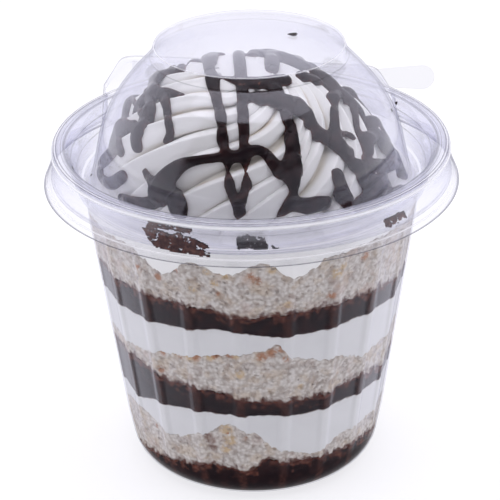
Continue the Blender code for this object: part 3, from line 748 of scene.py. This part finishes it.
def formed_sheet(name, path_at, azimuths, material, edge_shade):
    """A closed shell of even thickness, whose path is its surface on the left at each azimuth.

    edge_shade is how much painted shade darkens its free edge round the rim and round the hinge ledge.
    """
    outer, inner = [], []
    for azimuth in azimuths:
        path = path_at(float(azimuth))
        last = path[-1] - path[-2]
        near = path[-1] - last / np.linalg.norm(last) * EDGE_WIDTH
        path = np.concatenate((path[:-1], [near], path[-1:]))
        outer.append(around(azimuth, path[:, 0], path[:, 1]))
        under = offset_right(path, SHEET)
        inner.append(around(azimuth, under[:, 0], under[:, 1]))
    outer, inner = np.array(outer).swapaxes(0, 1), np.array(inner).swapaxes(0, 1)
    rings = np.concatenate((outer[1:], inner[:0:-1]))
    sheet = closed_rings(name, rings, material)
    edge = np.zeros(rings.shape[:2])
    beside_ledge = [ledge_reach(float(azimuth)) is None for azimuth in azimuths]
    # Painted shade along the free edge, as strong as edge_shade says
    edge[len(outer) - 2 : len(outer)] = np.where(beside_ledge, *edge_shade)
    set_attribute(sheet, "edge", edge.reshape(-1))
    return sheet


def inside_outline(points, outline):
    """Which of the flat points lie inside the outline."""
    x, y = points[..., 0], points[..., 1]
    inside = np.zeros(x.shape, bool)
    for (x0, y0), (x1, y1) in zip(outline, outline[1:] + outline[:1]):
        if y0 != y1:
            crossing = ((y0 > y) != (y1 > y)) & (x < x0 + (x1 - x0) * (y - y0) / (y1 - y0))
            inside ^= crossing
    return inside


def make_smears(name, wall, smears, material):
    """Films of fudge in the gap between a wall of the lid's rim and the cup's."""
    azimuths = np.arange(*SMEAR_REACH, math.degrees(SMEAR_STEP / RIM[0][0]))
    heights = np.arange(*SMEAR_HEIGHTS, SMEAR_STEP)
    sides = []
    for depth in (SHEET + SMEAR_CLEARANCE, SHEET + GAP - SMEAR_CLEARANCE):
        line = offset_right(wall, depth)
        line = line[np.argsort(line[:, 1])]
        sides.append(np.interp(heights, line[:, 1], line[:, 0]))
    sides.sort(key=np.sum)
    inner, outer = (around(azimuths[None, :], radius[:, None], heights[:, None]) for radius in sides)
    uneven = fractal(outer.reshape(-1, 3), 1.4, 3).reshape(heights.size, -1, 1)
    seen = seen_at(outer) + SMEAR_WOBBLE * uneven
    streaks = fractal(outer.reshape(-1, 3) * (1.0, 1.0, 1.6) + 9.0, 1.5, 3).reshape(heights.size, -1)
    rows, across = outer.shape[:2]
    points = np.concatenate((inner.reshape(-1, 3), outer.reshape(-1, 3)))
    thin_and_rib_light = np.zeros(rows * across)
    kept = np.zeros((rows + 1, across + 1), bool)
    for thinness, outline in smears:
        covered = inside_outline(seen, outline) & (streaks < SMEAR_COVER)
        thin_and_rib_light[covered.ravel()] = thinness
        kept[1:, 1:] |= covered
    kept[0], kept[-1], kept[:, 0], kept[:, -1] = False, False, False, False
    layer = rows * across
    faces = []
    for row, column in zip(*np.nonzero(kept)):
        a = (row - 1) * across + column - 1
        corners = (a, a + 1, a + across + 1, a + across)
        faces.append(tuple(corner + layer for corner in corners))
        faces.append(tuple(reversed(corners)))
        for k, (up, along) in enumerate(((-1, 0), (0, 1), (1, 0), (0, -1))):
            if not kept[row + up, column + along]:
                start, end = corners[k], corners[(k + 1) % 4]
                faces.append((start, end, end + layer, start + layer))
    used, renumbered = np.unique([corner for face in faces for corner in face], return_inverse=True)
    places = iter(renumbered.ravel().tolist())
    faces = [tuple(next(places) for _ in face) for face in faces]
    piece = add_object(name, points[used], faces, material, smooth=False)
    set_attribute(piece, "thin_and_rib_light", np.tile(thin_and_rib_light, 2)[used])
    return keep(piece, "fudge")


def tab_outline():
    """The strip's outline with its pull tab, as (x, z) points, clockwise from its left end."""
    top = RIM[RIM_FLAT_END][1] - SHEET - GAP
    bottom = CUP_LEDGE_HEIGHT + 0.6 + GAP
    line = []
    for x in np.linspace(-STRIP_HALF_WIDTH, STRIP_HALF_WIDTH, 24):
        drop = ledge_drop(x)
        line.append((x, top - max(drop, STRIP_LIFT_SHARE * drop) - 0.1))
    neck = STRIP_HALF_WIDTH + 3.0
    line.append((neck, TAB_MIDDLE + TAB_ROOT_HALF_HEIGHT))
    centre = TAB_END - TAB_HALF_HEIGHT
    for turn in np.linspace(math.pi / 2, -math.pi / 2, 13):
        across, up = TAB_HALF_HEIGHT * math.cos(turn), TAB_HALF_HEIGHT * math.sin(turn)
        line.append((centre + across, TAB_MIDDLE + up))
    line.append((neck, TAB_MIDDLE - TAB_ROOT_HALF_HEIGHT))
    line += [(x, bottom) for x in np.linspace(STRIP_HALF_WIDTH, -STRIP_HALF_WIDTH, 24)]
    return np.array(line)


def tear_strip(material):
    outline = tab_outline()
    y = LEDGE_REACH - STRIP_INSET
    half = STRIP_THICKNESS / 2
    count = len(outline)
    front = np.stack((outline[:, 0], np.full(count, y - half), outline[:, 1]), 1)
    back = front + (0.0, 2 * half, 0.0)
    faces = [tuple(range(count)), tuple(reversed(range(count, 2 * count)))]
    faces += [(i, i + count, (i + 1) % count + count, (i + 1) % count) for i in range(count)]
    strip = add_object("tear_strip_clear", np.concatenate((front, back)), faces, material, smooth=False)
    return keep(strip, "clear_plastic", "tear_strip")


def make_plastic():
    lid_plastic = clear_plastic("clear_lid", 0.035, 0.75, 2.5, 12.0, (0.973, 0.973, 0.977))
    cup_plastic = clear_plastic("clear_cup", 0.005, 0.9, 3.4, 8.0, (0.976, 0.976, 0.982))
    strip_plastic = clear_plastic("clear_strip", 0.02, 0.3, 3.0, 2.0, (0.925, 0.925, 0.93))
    # The last pair is how much painted shade darkens each sheet's free edge
    cup = formed_sheet("cup_clear", cup_path, fluted_columns(), cup_plastic, (0.15, 0.15))
    keep(cup, "clear_plastic", "cup")
    lid = formed_sheet("lid_clear", lid_path, columns(LID_COLUMNS), lid_plastic, (1.0, 0.35))
    keep(lid, "clear_plastic", "lid")
    tear_strip(strip_plastic)
    return lid


# Layers


def level(edge, azimuth):
    """Height of a layer's edge at those azimuths, rising and falling smoothly between its points."""
    points = sorted((a % 360.0, z) for a, z in edge)
    points = [(points[-1][0] - 360.0, points[-1][1])] + points + [(points[0][0] + 360.0, points[0][1])]
    at = np.array([p[0] for p in points])
    height = np.array([p[1] for p in points])
    azimuth = np.asarray(azimuth, float) % 360.0
    k = np.clip(np.searchsorted(at, azimuth, "right") - 1, 0, len(points) - 2)
    t = (azimuth - at[k]) / (at[k + 1] - at[k])
    return height[k] + (height[k + 1] - height[k]) * t * t * (3.0 - 2.0 * t)


def fractal(points, size, octaves=3):
    """Smooth noise from -1 to 1 at millimetre points, with features about size across."""
    return np.array([noise.fractal(Vector(p) / size, 0.6, 2.0, octaves) for p in points])


def rib(azimuth):
    """1 on the cup's ribs and 0 between them."""
    return smooth_step(FLUTE_FLANK[0] + 0.4, FLUTE_FLANK[1] - 0.4, from_rib(azimuth))


def edge_line(index, azimuths):
    """Height of the border on top of layer number index, with the ripples of its two foods."""
    base = level(LAYERS[index][2], azimuths)
    lower = LAYERS[index][1]
    upper = LAYERS[index + 1][1] if index + 1 < len(LAYERS) else "cream"
    amount, size = RIPPLES["cake" if "cake" in (lower, upper) else "cream"]
    line = around(azimuths, wall_radius(base), base + 40.0 * index)
    if (lower, upper) == ("cream", "fudge"):
        base = base - RIB_DIP * rib(azimuths)
    return base + amount * fractal(line, size)


def food_radius(azimuths, height):
    """Radius of the food against the wall: a little way into the sheet, and out into its ribs."""
    return wall_radius(height, SHEET - WALL_BITE) + flute(azimuths, height)


def wall_rings(azimuths, start, end, rows):
    """Rings of food against the wall, between two borders."""
    heights = [start + (end - start) * share for share in np.linspace(0.0, 1.0, rows + 1)]
    return [around(azimuths, food_radius(azimuths, height), height) for height in heights]


def flatter(azimuths, border, share):
    """A ring inside a layer's border, at that share of its radius, flatter than the border."""
    level_height = border.mean()
    radius = food_radius(azimuths, border) * share
    return around(azimuths, radius, level_height + (border - level_height) * share**3)


def layer_rings(index, azimuths):
    """Rings of layer number index, from its top's middle down the side to its bottom's middle."""
    upper = edge_line(index, azimuths)
    lower = edge_line(index - 1, azimuths) if index else np.full(len(azimuths), BASE_HEIGHT)
    lower = np.minimum(lower, upper - 0.35)
    rows = max(4, int(np.max(upper - lower) / LAYER_STEP))
    top = [flatter(azimuths, upper, share) for share in (0.1, 0.5, 0.9)]
    side = wall_rings(azimuths, upper, lower, rows)
    bottom = [flatter(azimuths, lower, share) for share in (0.9, 0.5, 0.1)]
    return np.array(top + side + bottom), len(top), len(top) + len(side)


def set_attribute(piece, name, values):
    attribute = piece.data.attributes.new(name, "FLOAT", "POINT")
    full = np.zeros(len(piece.data.vertices), np.float32)
    full[: len(values)] = values
    attribute.data.foreach_set("value", full)


def border_share(index, rings, above, width):
    """How near each point of a layer's side lies to the food above it, or below it, from 0 to 1."""
    heights = rings[:, :, 2]
    reach = rings[0, :, 2] - heights if above else heights - rings[-1, :, 2]
    ripple = fractal(rings.reshape(-1, 3) + 30.0 * (index + 1), 1.8, 3).reshape(heights.shape)
    return smooth_step(width, -0.1 * width, reach + 0.9 * width * ripple)


def spot_share(piece, spots, count):
    """How much each of the piece's first points lies in spots seen from the camera, from 0 to 1."""
    tree = surface_tree(piece)
    points = np.array([v.co for v in piece.data.vertices])[:count] / MM
    share = np.zeros(count)
    for across, down, half_width in spots:
        found = seen_on(tree, across, down, half_width)
        if found is not None:
            away = np.linalg.norm(points - found[:3], axis=1)
            share = np.maximum(share, smooth_step(1.25 * found[6], 0.5 * found[6], away))
    return share


def make_layer(index, materials):
    name, food, _ = LAYERS[index]
    foods = [layer[1] for layer in LAYERS] + ["cream"]
    azimuths = columns(LAYER_COLUMNS)
    rings, first, last = layer_rings(index, azimuths)
    shape = rings.shape[:2]
    side = rings[first:last].reshape(-1, 3)
    pit_shade, stain, thin_and_rib_light = np.zeros(shape), np.zeros(shape), np.zeros(shape)
    if food == "cake":
        lumps = fractal(side, 4.0, 3)
        holes = smooth_step(0.2, 0.6, fractal(side + 70.0, 2.2, 3))
        # Painted shade in the sunk holes of the cake
        pit_shade[first:last] = np.clip(holes - 0.2 * lumps, 0.0, 1.0).reshape(last - first, -1)
        outward = unit(side * (1.0, 1.0, 0.0))
        rings[first:last] = (side - 0.4 * outward * holes[:, None]).reshape(last - first, -1, 3)
    wall = rings[first:last]
    if food == "fudge":
        soaked = border_share(index, wall, True, 2.6) if foods[index + 1] == "cake" else 0.0
        # Along the ribs the fudge is painted redder: painted light for the way the ribs bend light through
        # the sheet
        thin_and_rib_light[first:last] = np.maximum(soaked, 0.45 * rib(azimuths))
    else:
        for above, beside in ((True, index + 1), (False, index - 1)):
            if beside >= 0 and foods[beside] == "fudge":
                width = 1.5 if food == "cake" else 0.35
                stain[first:last] = np.maximum(stain[first:last], border_share(index, wall, above, width))
    piece = closed_rings(name + "_look", rings, materials[food])
    for attribute, values in (("pit_shade", pit_shade), ("stain", stain), ("thin_and_rib_light", thin_and_rib_light)):
        set_attribute(piece, attribute, values.reshape(-1))
    for attribute, spots in SPOTS.get(name, {}).items():
        set_attribute(piece, attribute, spot_share(piece, spots, pit_shade.size))
    return keep(piece, food, name)


# Piped cream and fudge threads


def mound_share(height):
    """The share of the way up the mound."""
    return np.clip((np.asarray(height, float) - SWIRL_FOOT) / (SWIRL_TOP - SWIRL_FOOT), 0.0, 1.0)


def leaning(points):
    """The points moved to the side as far as the mound leans at their height."""
    return points + mound_share(points[..., 2])[..., None] * np.array((SWIRL_LEAN, 0.0, 0.0))


def mound_radius(height):
    share = mound_share(height)
    shoulder, crown = SWIRL_FULLNESS
    return SWIRL_RADIUS * (1.0 - share**shoulder) ** (1.0 / crown)


def dome_radius(height):
    """Radius of the lid's inside at those heights."""
    path = offset_right(DOME, SHEET)
    return np.interp(height, path[::-1, 1], path[::-1, 0])


def limb_columns():
    """For each column round the mound: its azimuth at the foot, its fold, and its place across it."""
    feet = np.array(SWIRL_FEET, float)
    widths = np.diff(np.append(feet, feet[0] + 360.0))
    lip = np.linspace(0.0, 2.0 * LIP_SHARE, 9, endpoint=False)
    belly = np.linspace(2.0 * LIP_SHARE, 1.0, LIMB_COLUMNS - len(lip), endpoint=False)
    across = np.concatenate((lip, belly))
    azimuth = feet[:, None] + widths[:, None] * across
    fold = np.broadcast_to(np.arange(len(feet))[:, None], azimuth.shape)
    return azimuth.ravel(), fold.ravel(), np.tile(across, len(feet)), np.repeat(widths, LIMB_COLUMNS)


def swirl_rings():
    """Rings of the piped mound from its foot up, and how deep in a valley each point lies."""
    foot, fold, across, width = limb_columns()
    share = (np.arange(SWIRL_ROWS) / SWIRL_ROWS)[:, None]
    sway = FOLD_SWAY * np.sin(5.0 * share + 2.3 * fold) * np.sin(math.pi * share)
    azimuth = foot + sway + SWIRL_TURN * share**SWIRL_TURN_POWER
    lean = FOLD_LEAN * np.sin(np.radians(azimuth - FOLD_LEVEL)) ** 2 * np.sin(math.pi * share)
    climb = share + lean
    height = SWIRL_FOOT + (SWIRL_TOP - SWIRL_FOOT) * (0.3 * climb + 0.7 * np.sin(climb * math.pi / 2))
    fade = np.sin(math.pi * np.minimum(share * 1.1 + 0.08, 1.0)) ** 0.4
    depth = SWIRL_DEPTH * fade * np.clip(width / 18.0, 0.8, 1.2)
    depth = depth * (1.0 + 0.25 * np.sin(6.0 * share + 1.9 * fold))
    cliff = smooth_step(LIP_SHARE, 0.25 * LIP_SHARE, across)
    belly = np.clip((across - LIP_SHARE) / (1.0 - LIP_SHARE), 0.0, 1.0)
    bow = 0.45 * belly**1.5 + 0.55 * (1.0 - np.sqrt(1.0 - 0.97 * belly**2))
    hollow = np.where(across < LIP_SHARE, cliff, bow)
    radius = np.maximum(mound_radius(height) - depth * hollow, 0.3)
    curl = SWIRL_LIFT * fade * np.exp(-(((across - LIP_SHARE) / LIP_WIDTH) ** 2))
    points = around(azimuth, radius, np.minimum(height + curl * (1.0 - share), SWIRL_TOP))
    return leaning(points), np.clip(hollow * fade, 0.0, 1.0)


def make_swirl(material):
    azimuths = limb_columns()[0]
    upper, valley = swirl_rings()
    flat = upper.reshape(-1, 3)
    lumps = LUMP_HEIGHT * fractal(flat, LUMP_SIZE, 2)
    out = flat * (1.0, 1.0, 0.0)
    out /= np.maximum(np.linalg.norm(out, axis=1), 1.0)[:, None]
    upper = (flat + out * lumps[:, None]).reshape(upper.shape)
    below = edge_line(len(LAYERS) - 1, azimuths)
    low = [around(azimuths, food_radius(azimuths, below) * share, below) for share in (0.1, 0.7)]
    wall = wall_rings(azimuths, below, WALL_END, 15)
    shelf = [around(azimuths, radius, height) for radius, height in SHELF]
    rings = np.array([*low, *wall, *shelf, *upper])[::-1]
    valley_shade = np.zeros(rings.shape[:2])
    valley_shade[: len(upper)] = valley[::-1]
    piece = closed_rings("cream_swirl_look", rings, material)
    # The valley depth drives the cream's painted shade
    set_attribute(piece, "valley", valley_shade.reshape(-1))
    return keep(piece, "cream", "cream_swirl")


def smooth_curve(points, at):
    """Catmull-Rom curve through points, at a position counted in points from the first."""
    k = min(int(at), len(points) - 2)
    t = at - k
    before = points[k - 1] if k > 0 else 2 * points[0] - points[1]
    after = points[k + 2] if k + 2 < len(points) else 2 * points[-1] - points[-2]
    here, there = points[k], points[k + 1]
    return 0.5 * (
        2 * here
        + (there - before) * t
        + (2 * before - 5 * here + 4 * there - after) * t**2
        + (3 * here - before - 3 * there + after) * t**3
    )


def surface_tree(piece):
    """The piece's mesh in millimetres, to cast rays at."""
    mesh = piece.data
    places = [tuple(v.co / MM) for v in mesh.vertices]
    return BVHTree.FromPolygons(places, [tuple(p.vertices) for p in mesh.polygons])


def camera_ray(across, down):
    """Start and direction of the sight line through a pixel of the camera's frame, in millimetres."""
    camera = bpy.context.scene.camera
    pixel = camera.data.sensor_width / FRAME
    local = Vector(((across - FRAME / 2) * pixel, (FRAME / 2 - down) * pixel, -camera.data.lens))
    direction = camera.matrix_world.to_3x3() @ local
    return camera.matrix_world.translation / MM, direction.normalized()


def seen_at(points):
    """Pixels of the camera's frame where those millimetre points are seen."""
    camera = bpy.context.scene.camera
    turn = np.array(camera.matrix_world.to_3x3())
    local = (points - np.array(camera.matrix_world.translation) / MM) @ turn
    pixels = camera.data.lens / camera.data.sensor_width * FRAME / -local[..., 2]
    return np.stack((FRAME / 2 + local[..., 0] * pixels, FRAME / 2 - local[..., 1] * pixels), -1)


def seen_on(tree, across, down, half_width):
    """Place, normal and half width in millimetres on the piece behind a pixel, or None well beside it."""
    start, direction = camera_ray(across, down)
    place, normal, _, distance = tree.ray_cast(start, direction)
    if place is None:
        # Beside its outline: the nearest place to the sight line
        steps = [start + direction * (CAMERA_DISTANCE + along) for along in range(-60, 61, 4)]
        found = min((tree.find_nearest(step) for step in steps), key=lambda hit: hit[3])
        if found[3] > BESIDE:
            return None
        place, normal = found[0], found[1]
        distance = (place - start).length
    return np.array((*place, *normal, half_width * PIXEL * distance))


def behind_on(tree, azimuth, height, half_width):
    """Place, normal and half width on the cream at an azimuth and height, met from outside."""
    target = Vector(leaning(around(azimuth, 0.8 * mound_radius(height), height - 2.0)))
    start = Vector(leaning(around(azimuth, mound_radius(height) + 12.0, height + 9.0)))
    place, normal, _, _ = tree.ray_cast(start, (target - start).normalized())
    if place is None:
        return None
    return np.array((*place, *normal, half_width))


def surface_line(tree, route, find):
    """Evenly spaced places, normals and half widths on the cream along a route."""
    route = [np.array(p, float) for p in route]
    found = []
    for at in np.linspace(0.0, len(route) - 1, THREAD_STEPS * len(route)):
        row = find(tree, *smooth_curve(route, at))
        if row is not None:
            found.append(row)
    found = np.array(found)
    window = np.hanning(THREAD_EVENING)[1:-1]
    window /= window.sum()
    pad = len(window) // 2
    wide = np.concatenate((np.repeat(found[:1], pad, 0), found, np.repeat(found[-1:], pad, 0)))
    found = np.stack([np.convolve(wide[:, k], window, "valid") for k in range(found.shape[1])], 1)
    found[:, 3:6] = unit(found[:, 3:6])
    walked = np.concatenate(([0.0], np.cumsum(np.linalg.norm(np.diff(found[:, :3], axis=0), axis=1))))
    even = np.linspace(0.0, walked[-1], max(3, int(walked[-1] / THREAD_STEP)))
    line = np.stack([np.interp(even, walked, found[:, k]) for k in range(found.shape[1])], 1)
    return line[:, :3], line[:, 3:6], line[:, 6]


def thread_tube(points, normals, half_widths):
    """Rings of a thread that lies along the points."""
    count = len(points)
    ahead = unit(np.gradient(points, axis=0))
    outward = unit(normals - ahead * (normals * ahead).sum(1)[:, None])
    sideways = np.cross(ahead, outward)
    ends = np.minimum(np.arange(count), np.arange(count)[::-1]) * THREAD_STEP
    taper = np.clip((ends + THREAD_TAPER) / half_widths, 0.05, 1.0) ** 0.5
    size = half_widths * taper + THREAD_SHRINKAGE
    turns = np.radians(columns(THREAD_SIDES))
    return points[:, None, :] + size[:, None, None] * (
        sideways[:, None, :] * np.cos(turns)[None, :, None]
        + THREAD_FLATNESS * outward[:, None, :] * (np.sin(turns) + THREAD_RISE)[None, :, None]
    )


def fuse(piece, material):
    """Turns the piece's tubes into one smooth skin by a voxel remesh."""
    remesh = piece.modifiers.new("fuse", "REMESH")
    remesh.mode = "VOXEL"
    remesh.voxel_size = THREAD_VOXEL * MM
    soften = piece.modifiers.new("soften", "SMOOTH")
    soften.iterations = 6
    soften.factor = 0.6
    bpy.context.view_layer.update()
    fused = bpy.data.meshes.new_from_object(piece.evaluated_get(bpy.context.evaluated_depsgraph_get()))
    piece.modifiers.clear()
    piece.data = fused
    fused.materials.clear()
    fused.materials.append(material)
    fused.shade_smooth()


def keep_under_dome(points):
    """Moves millimetre points that would touch the lid inwards."""
    reach = np.hypot(points[:, 0], points[:, 1])
    limit = dome_radius(points[:, 2]) - DOME_CLEARANCE
    points[:, :2] *= np.minimum(1.0, limit / np.maximum(reach, 1e-6))[:, None]
    points[:, 2] = np.minimum(points[:, 2], TOTAL_HEIGHT - SHEET - DOME_CLEARANCE)


def make_threads(swirl, material):
    """All threads as one piece of tubes that lie on the cream, fused."""
    tree = surface_tree(swirl)
    points, faces = [], []
    routes = [(route, seen_on) for route in THREADS_SEEN] + [(route, behind_on) for route in THREADS_BEHIND]
    for route, find in routes:
        rings = thread_tube(*surface_line(tree, route, find))
        start = len(points)
        points.extend(rings.reshape(-1, 3))
        faces += grid_faces(len(rings), THREAD_SIDES, start)
        faces.append(tuple(range(start, start + THREAD_SIDES)))
        faces.append(tuple(range(len(points) - 1, len(points) - 1 - THREAD_SIDES, -1)))
    piece = add_object("fudge_threads", np.array(points), faces, None)
    fuse(piece, material)
    places = np.array([v.co for v in piece.data.vertices]) / MM
    keep_under_dome(places)
    piece.data.vertices.foreach_set("co", (places * MM).astype(np.float32).ravel())
    piece.data.update()
    thin_and_rib_light = []
    for place in places:
        hit = tree.find_nearest(Vector(place))
        outside = (Vector(place) - hit[0]).dot(hit[1])
        thin_and_rib_light.append(math.exp(-max(outside, 0.0) / THIN_REACH))
    set_attribute(piece, "thin_and_rib_light", np.array(thin_and_rib_light))
    return keep(piece, "fudge")


def make_flecks(lid, material):
    """Specks of fudge that stick to the lid."""
    tree = surface_tree(lid)
    angles = np.radians(columns(FLECK_COLUMNS))
    for number, speck in enumerate(FLECKS, 1):
        found = seen_on(tree, *speck)
        place, inward, radius = Vector(found[:3]), -Vector(found[3:6]), found[6]
        turn = inward.to_track_quat("Z", "Y")
        rings = []
        for share in np.linspace(0.08, 0.92, 7):
            wide = radius * math.sin(math.pi * share) * (1.0 + 0.15 * np.sin(3.0 * angles + number))
            up = FLECK_THICKNESS * (0.5 * math.cos(math.pi * share) + 0.3)
            ring = np.stack((wide * np.cos(angles), wide * np.sin(angles), np.full(angles.size, up)), -1)
            rings.append([place + turn @ Vector(point) for point in ring])
        keep(closed_rings("fudge_fleck_%d" % number, rings[::-1], material), "fudge")


# Studio


def make_camera():
    elevation = math.radians(CAMERA_ELEVATION)
    aim = Vector((CAMERA_AIM[0], 0.0, CAMERA_AIM[1])) * MM
    back = Vector((0.0, -math.cos(elevation), math.sin(elevation))) * (CAMERA_DISTANCE * MM)
    camera = bpy.data.objects.new("camera", bpy.data.cameras.new("camera"))
    camera.data.sensor_width = CAMERA_SENSOR
    camera.data.lens = CAMERA_LENS
    camera.data.clip_start = 0.01
    tilt = Matrix.Rotation(math.pi / 2 - elevation, 4, "X")
    roll = Matrix.Rotation(-math.radians(CAMERA_ROLL), 4, "Z")
    camera.matrix_world = Matrix.Translation(aim + back) @ tilt @ roll
    bpy.context.scene.collection.objects.link(camera)
    bpy.context.scene.camera = camera


def make_studio():
    """A bright ceiling, sides and back, and a dim room in front."""
    scene = bpy.context.scene
    scene.view_settings.view_transform = "Standard"
    scene.cycles.transparent_max_bounces = 64
    scene.world = bpy.data.worlds.new("studio")
    s = Shader(scene.world, "ShaderNodeOutputWorld")
    direction = s.node("ShaderNodeTexCoord").outputs["Generated"]
    flat = s.node("ShaderNodeVectorMath", operation="MULTIPLY")
    s.link(direction, flat.inputs[0])
    flat.inputs[1].default_value = (1.0, 1.0, 0.0)
    heading = s.node("ShaderNodeVectorMath", operation="NORMALIZE")
    s.link(flat.outputs[0], heading.inputs[0])
    away = s.apart(heading.outputs[0])[1]
    sideways, _, height = s.apart(direction)
    front = s.ramp(height, *ROOM_FOOT, FRONT_LIGHT, ROOM_LIGHT)
    room = s.times(s.ramp(away, *ROOM_EDGE, 1.0, 0.0), front)
    room = s.plus(room, s.ramp(away, *ROOM_EDGE, 0.0, SIDE_LIGHT))
    room = s.times(room, s.ramp(away, *BACK_EDGE, 1.0, BACK_SHARE))
    bow = s.times(s.times(sideways, sideways), CEILING_BOW)
    ceiling = s.ramp(s.plus(height, bow), *CEILING_EDGE, 0.0, CEILING_LIGHT)
    s.surface(s.shader("ShaderNodeBackground", {
        "Color": (0.94, 0.93, 1.0),
        "Strength": s.most(room, ceiling),
    }))


def make_floor():
    size = 3000.0
    points = [(-size, -size, 0.0), (size, -size, 0.0), (size, size, 0.0), (-size, size, 0.0)]
    floor = add_object("floor", points, [(0, 1, 2, 3)], floor_material(), smooth=False)


def main():
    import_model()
    make_camera()
    make_studio()
    make_floor()
    materials = {
        # The layers' cream is a darker copy of the piped cream: painted shade for cream seen behind the
        # cup's wall
        "cream": cream_material("packed_cream_shaded", (0.70, 0.70, 0.71), (0.64, 0.64, 0.65)),
        "fudge": fudge_material("fudge_filling", 0.05, 0.08),
        "cake": cake_material("sponge"),
    }
    lid = make_plastic()
    make_smears("fudge_rim_smears", [GUTTER[-1], *RIM[:4]], RIM_SMEARS, materials["fudge"])
    make_smears("fudge_skirt_smears", RIM[RIM_FLAT_END:], SKIRT_SMEARS, materials["fudge"])
    for index in range(len(LAYERS)):
        make_layer(index, materials)
    swirl = make_swirl(cream_material("piped_cream", (0.90, 0.895, 0.885), (0.85, 0.845, 0.835)))
    sauce = fudge_material("fudge_sauce", 0.12, 0.3)
    make_threads(swirl, sauce)
    make_flecks(lid, sauce)


main()
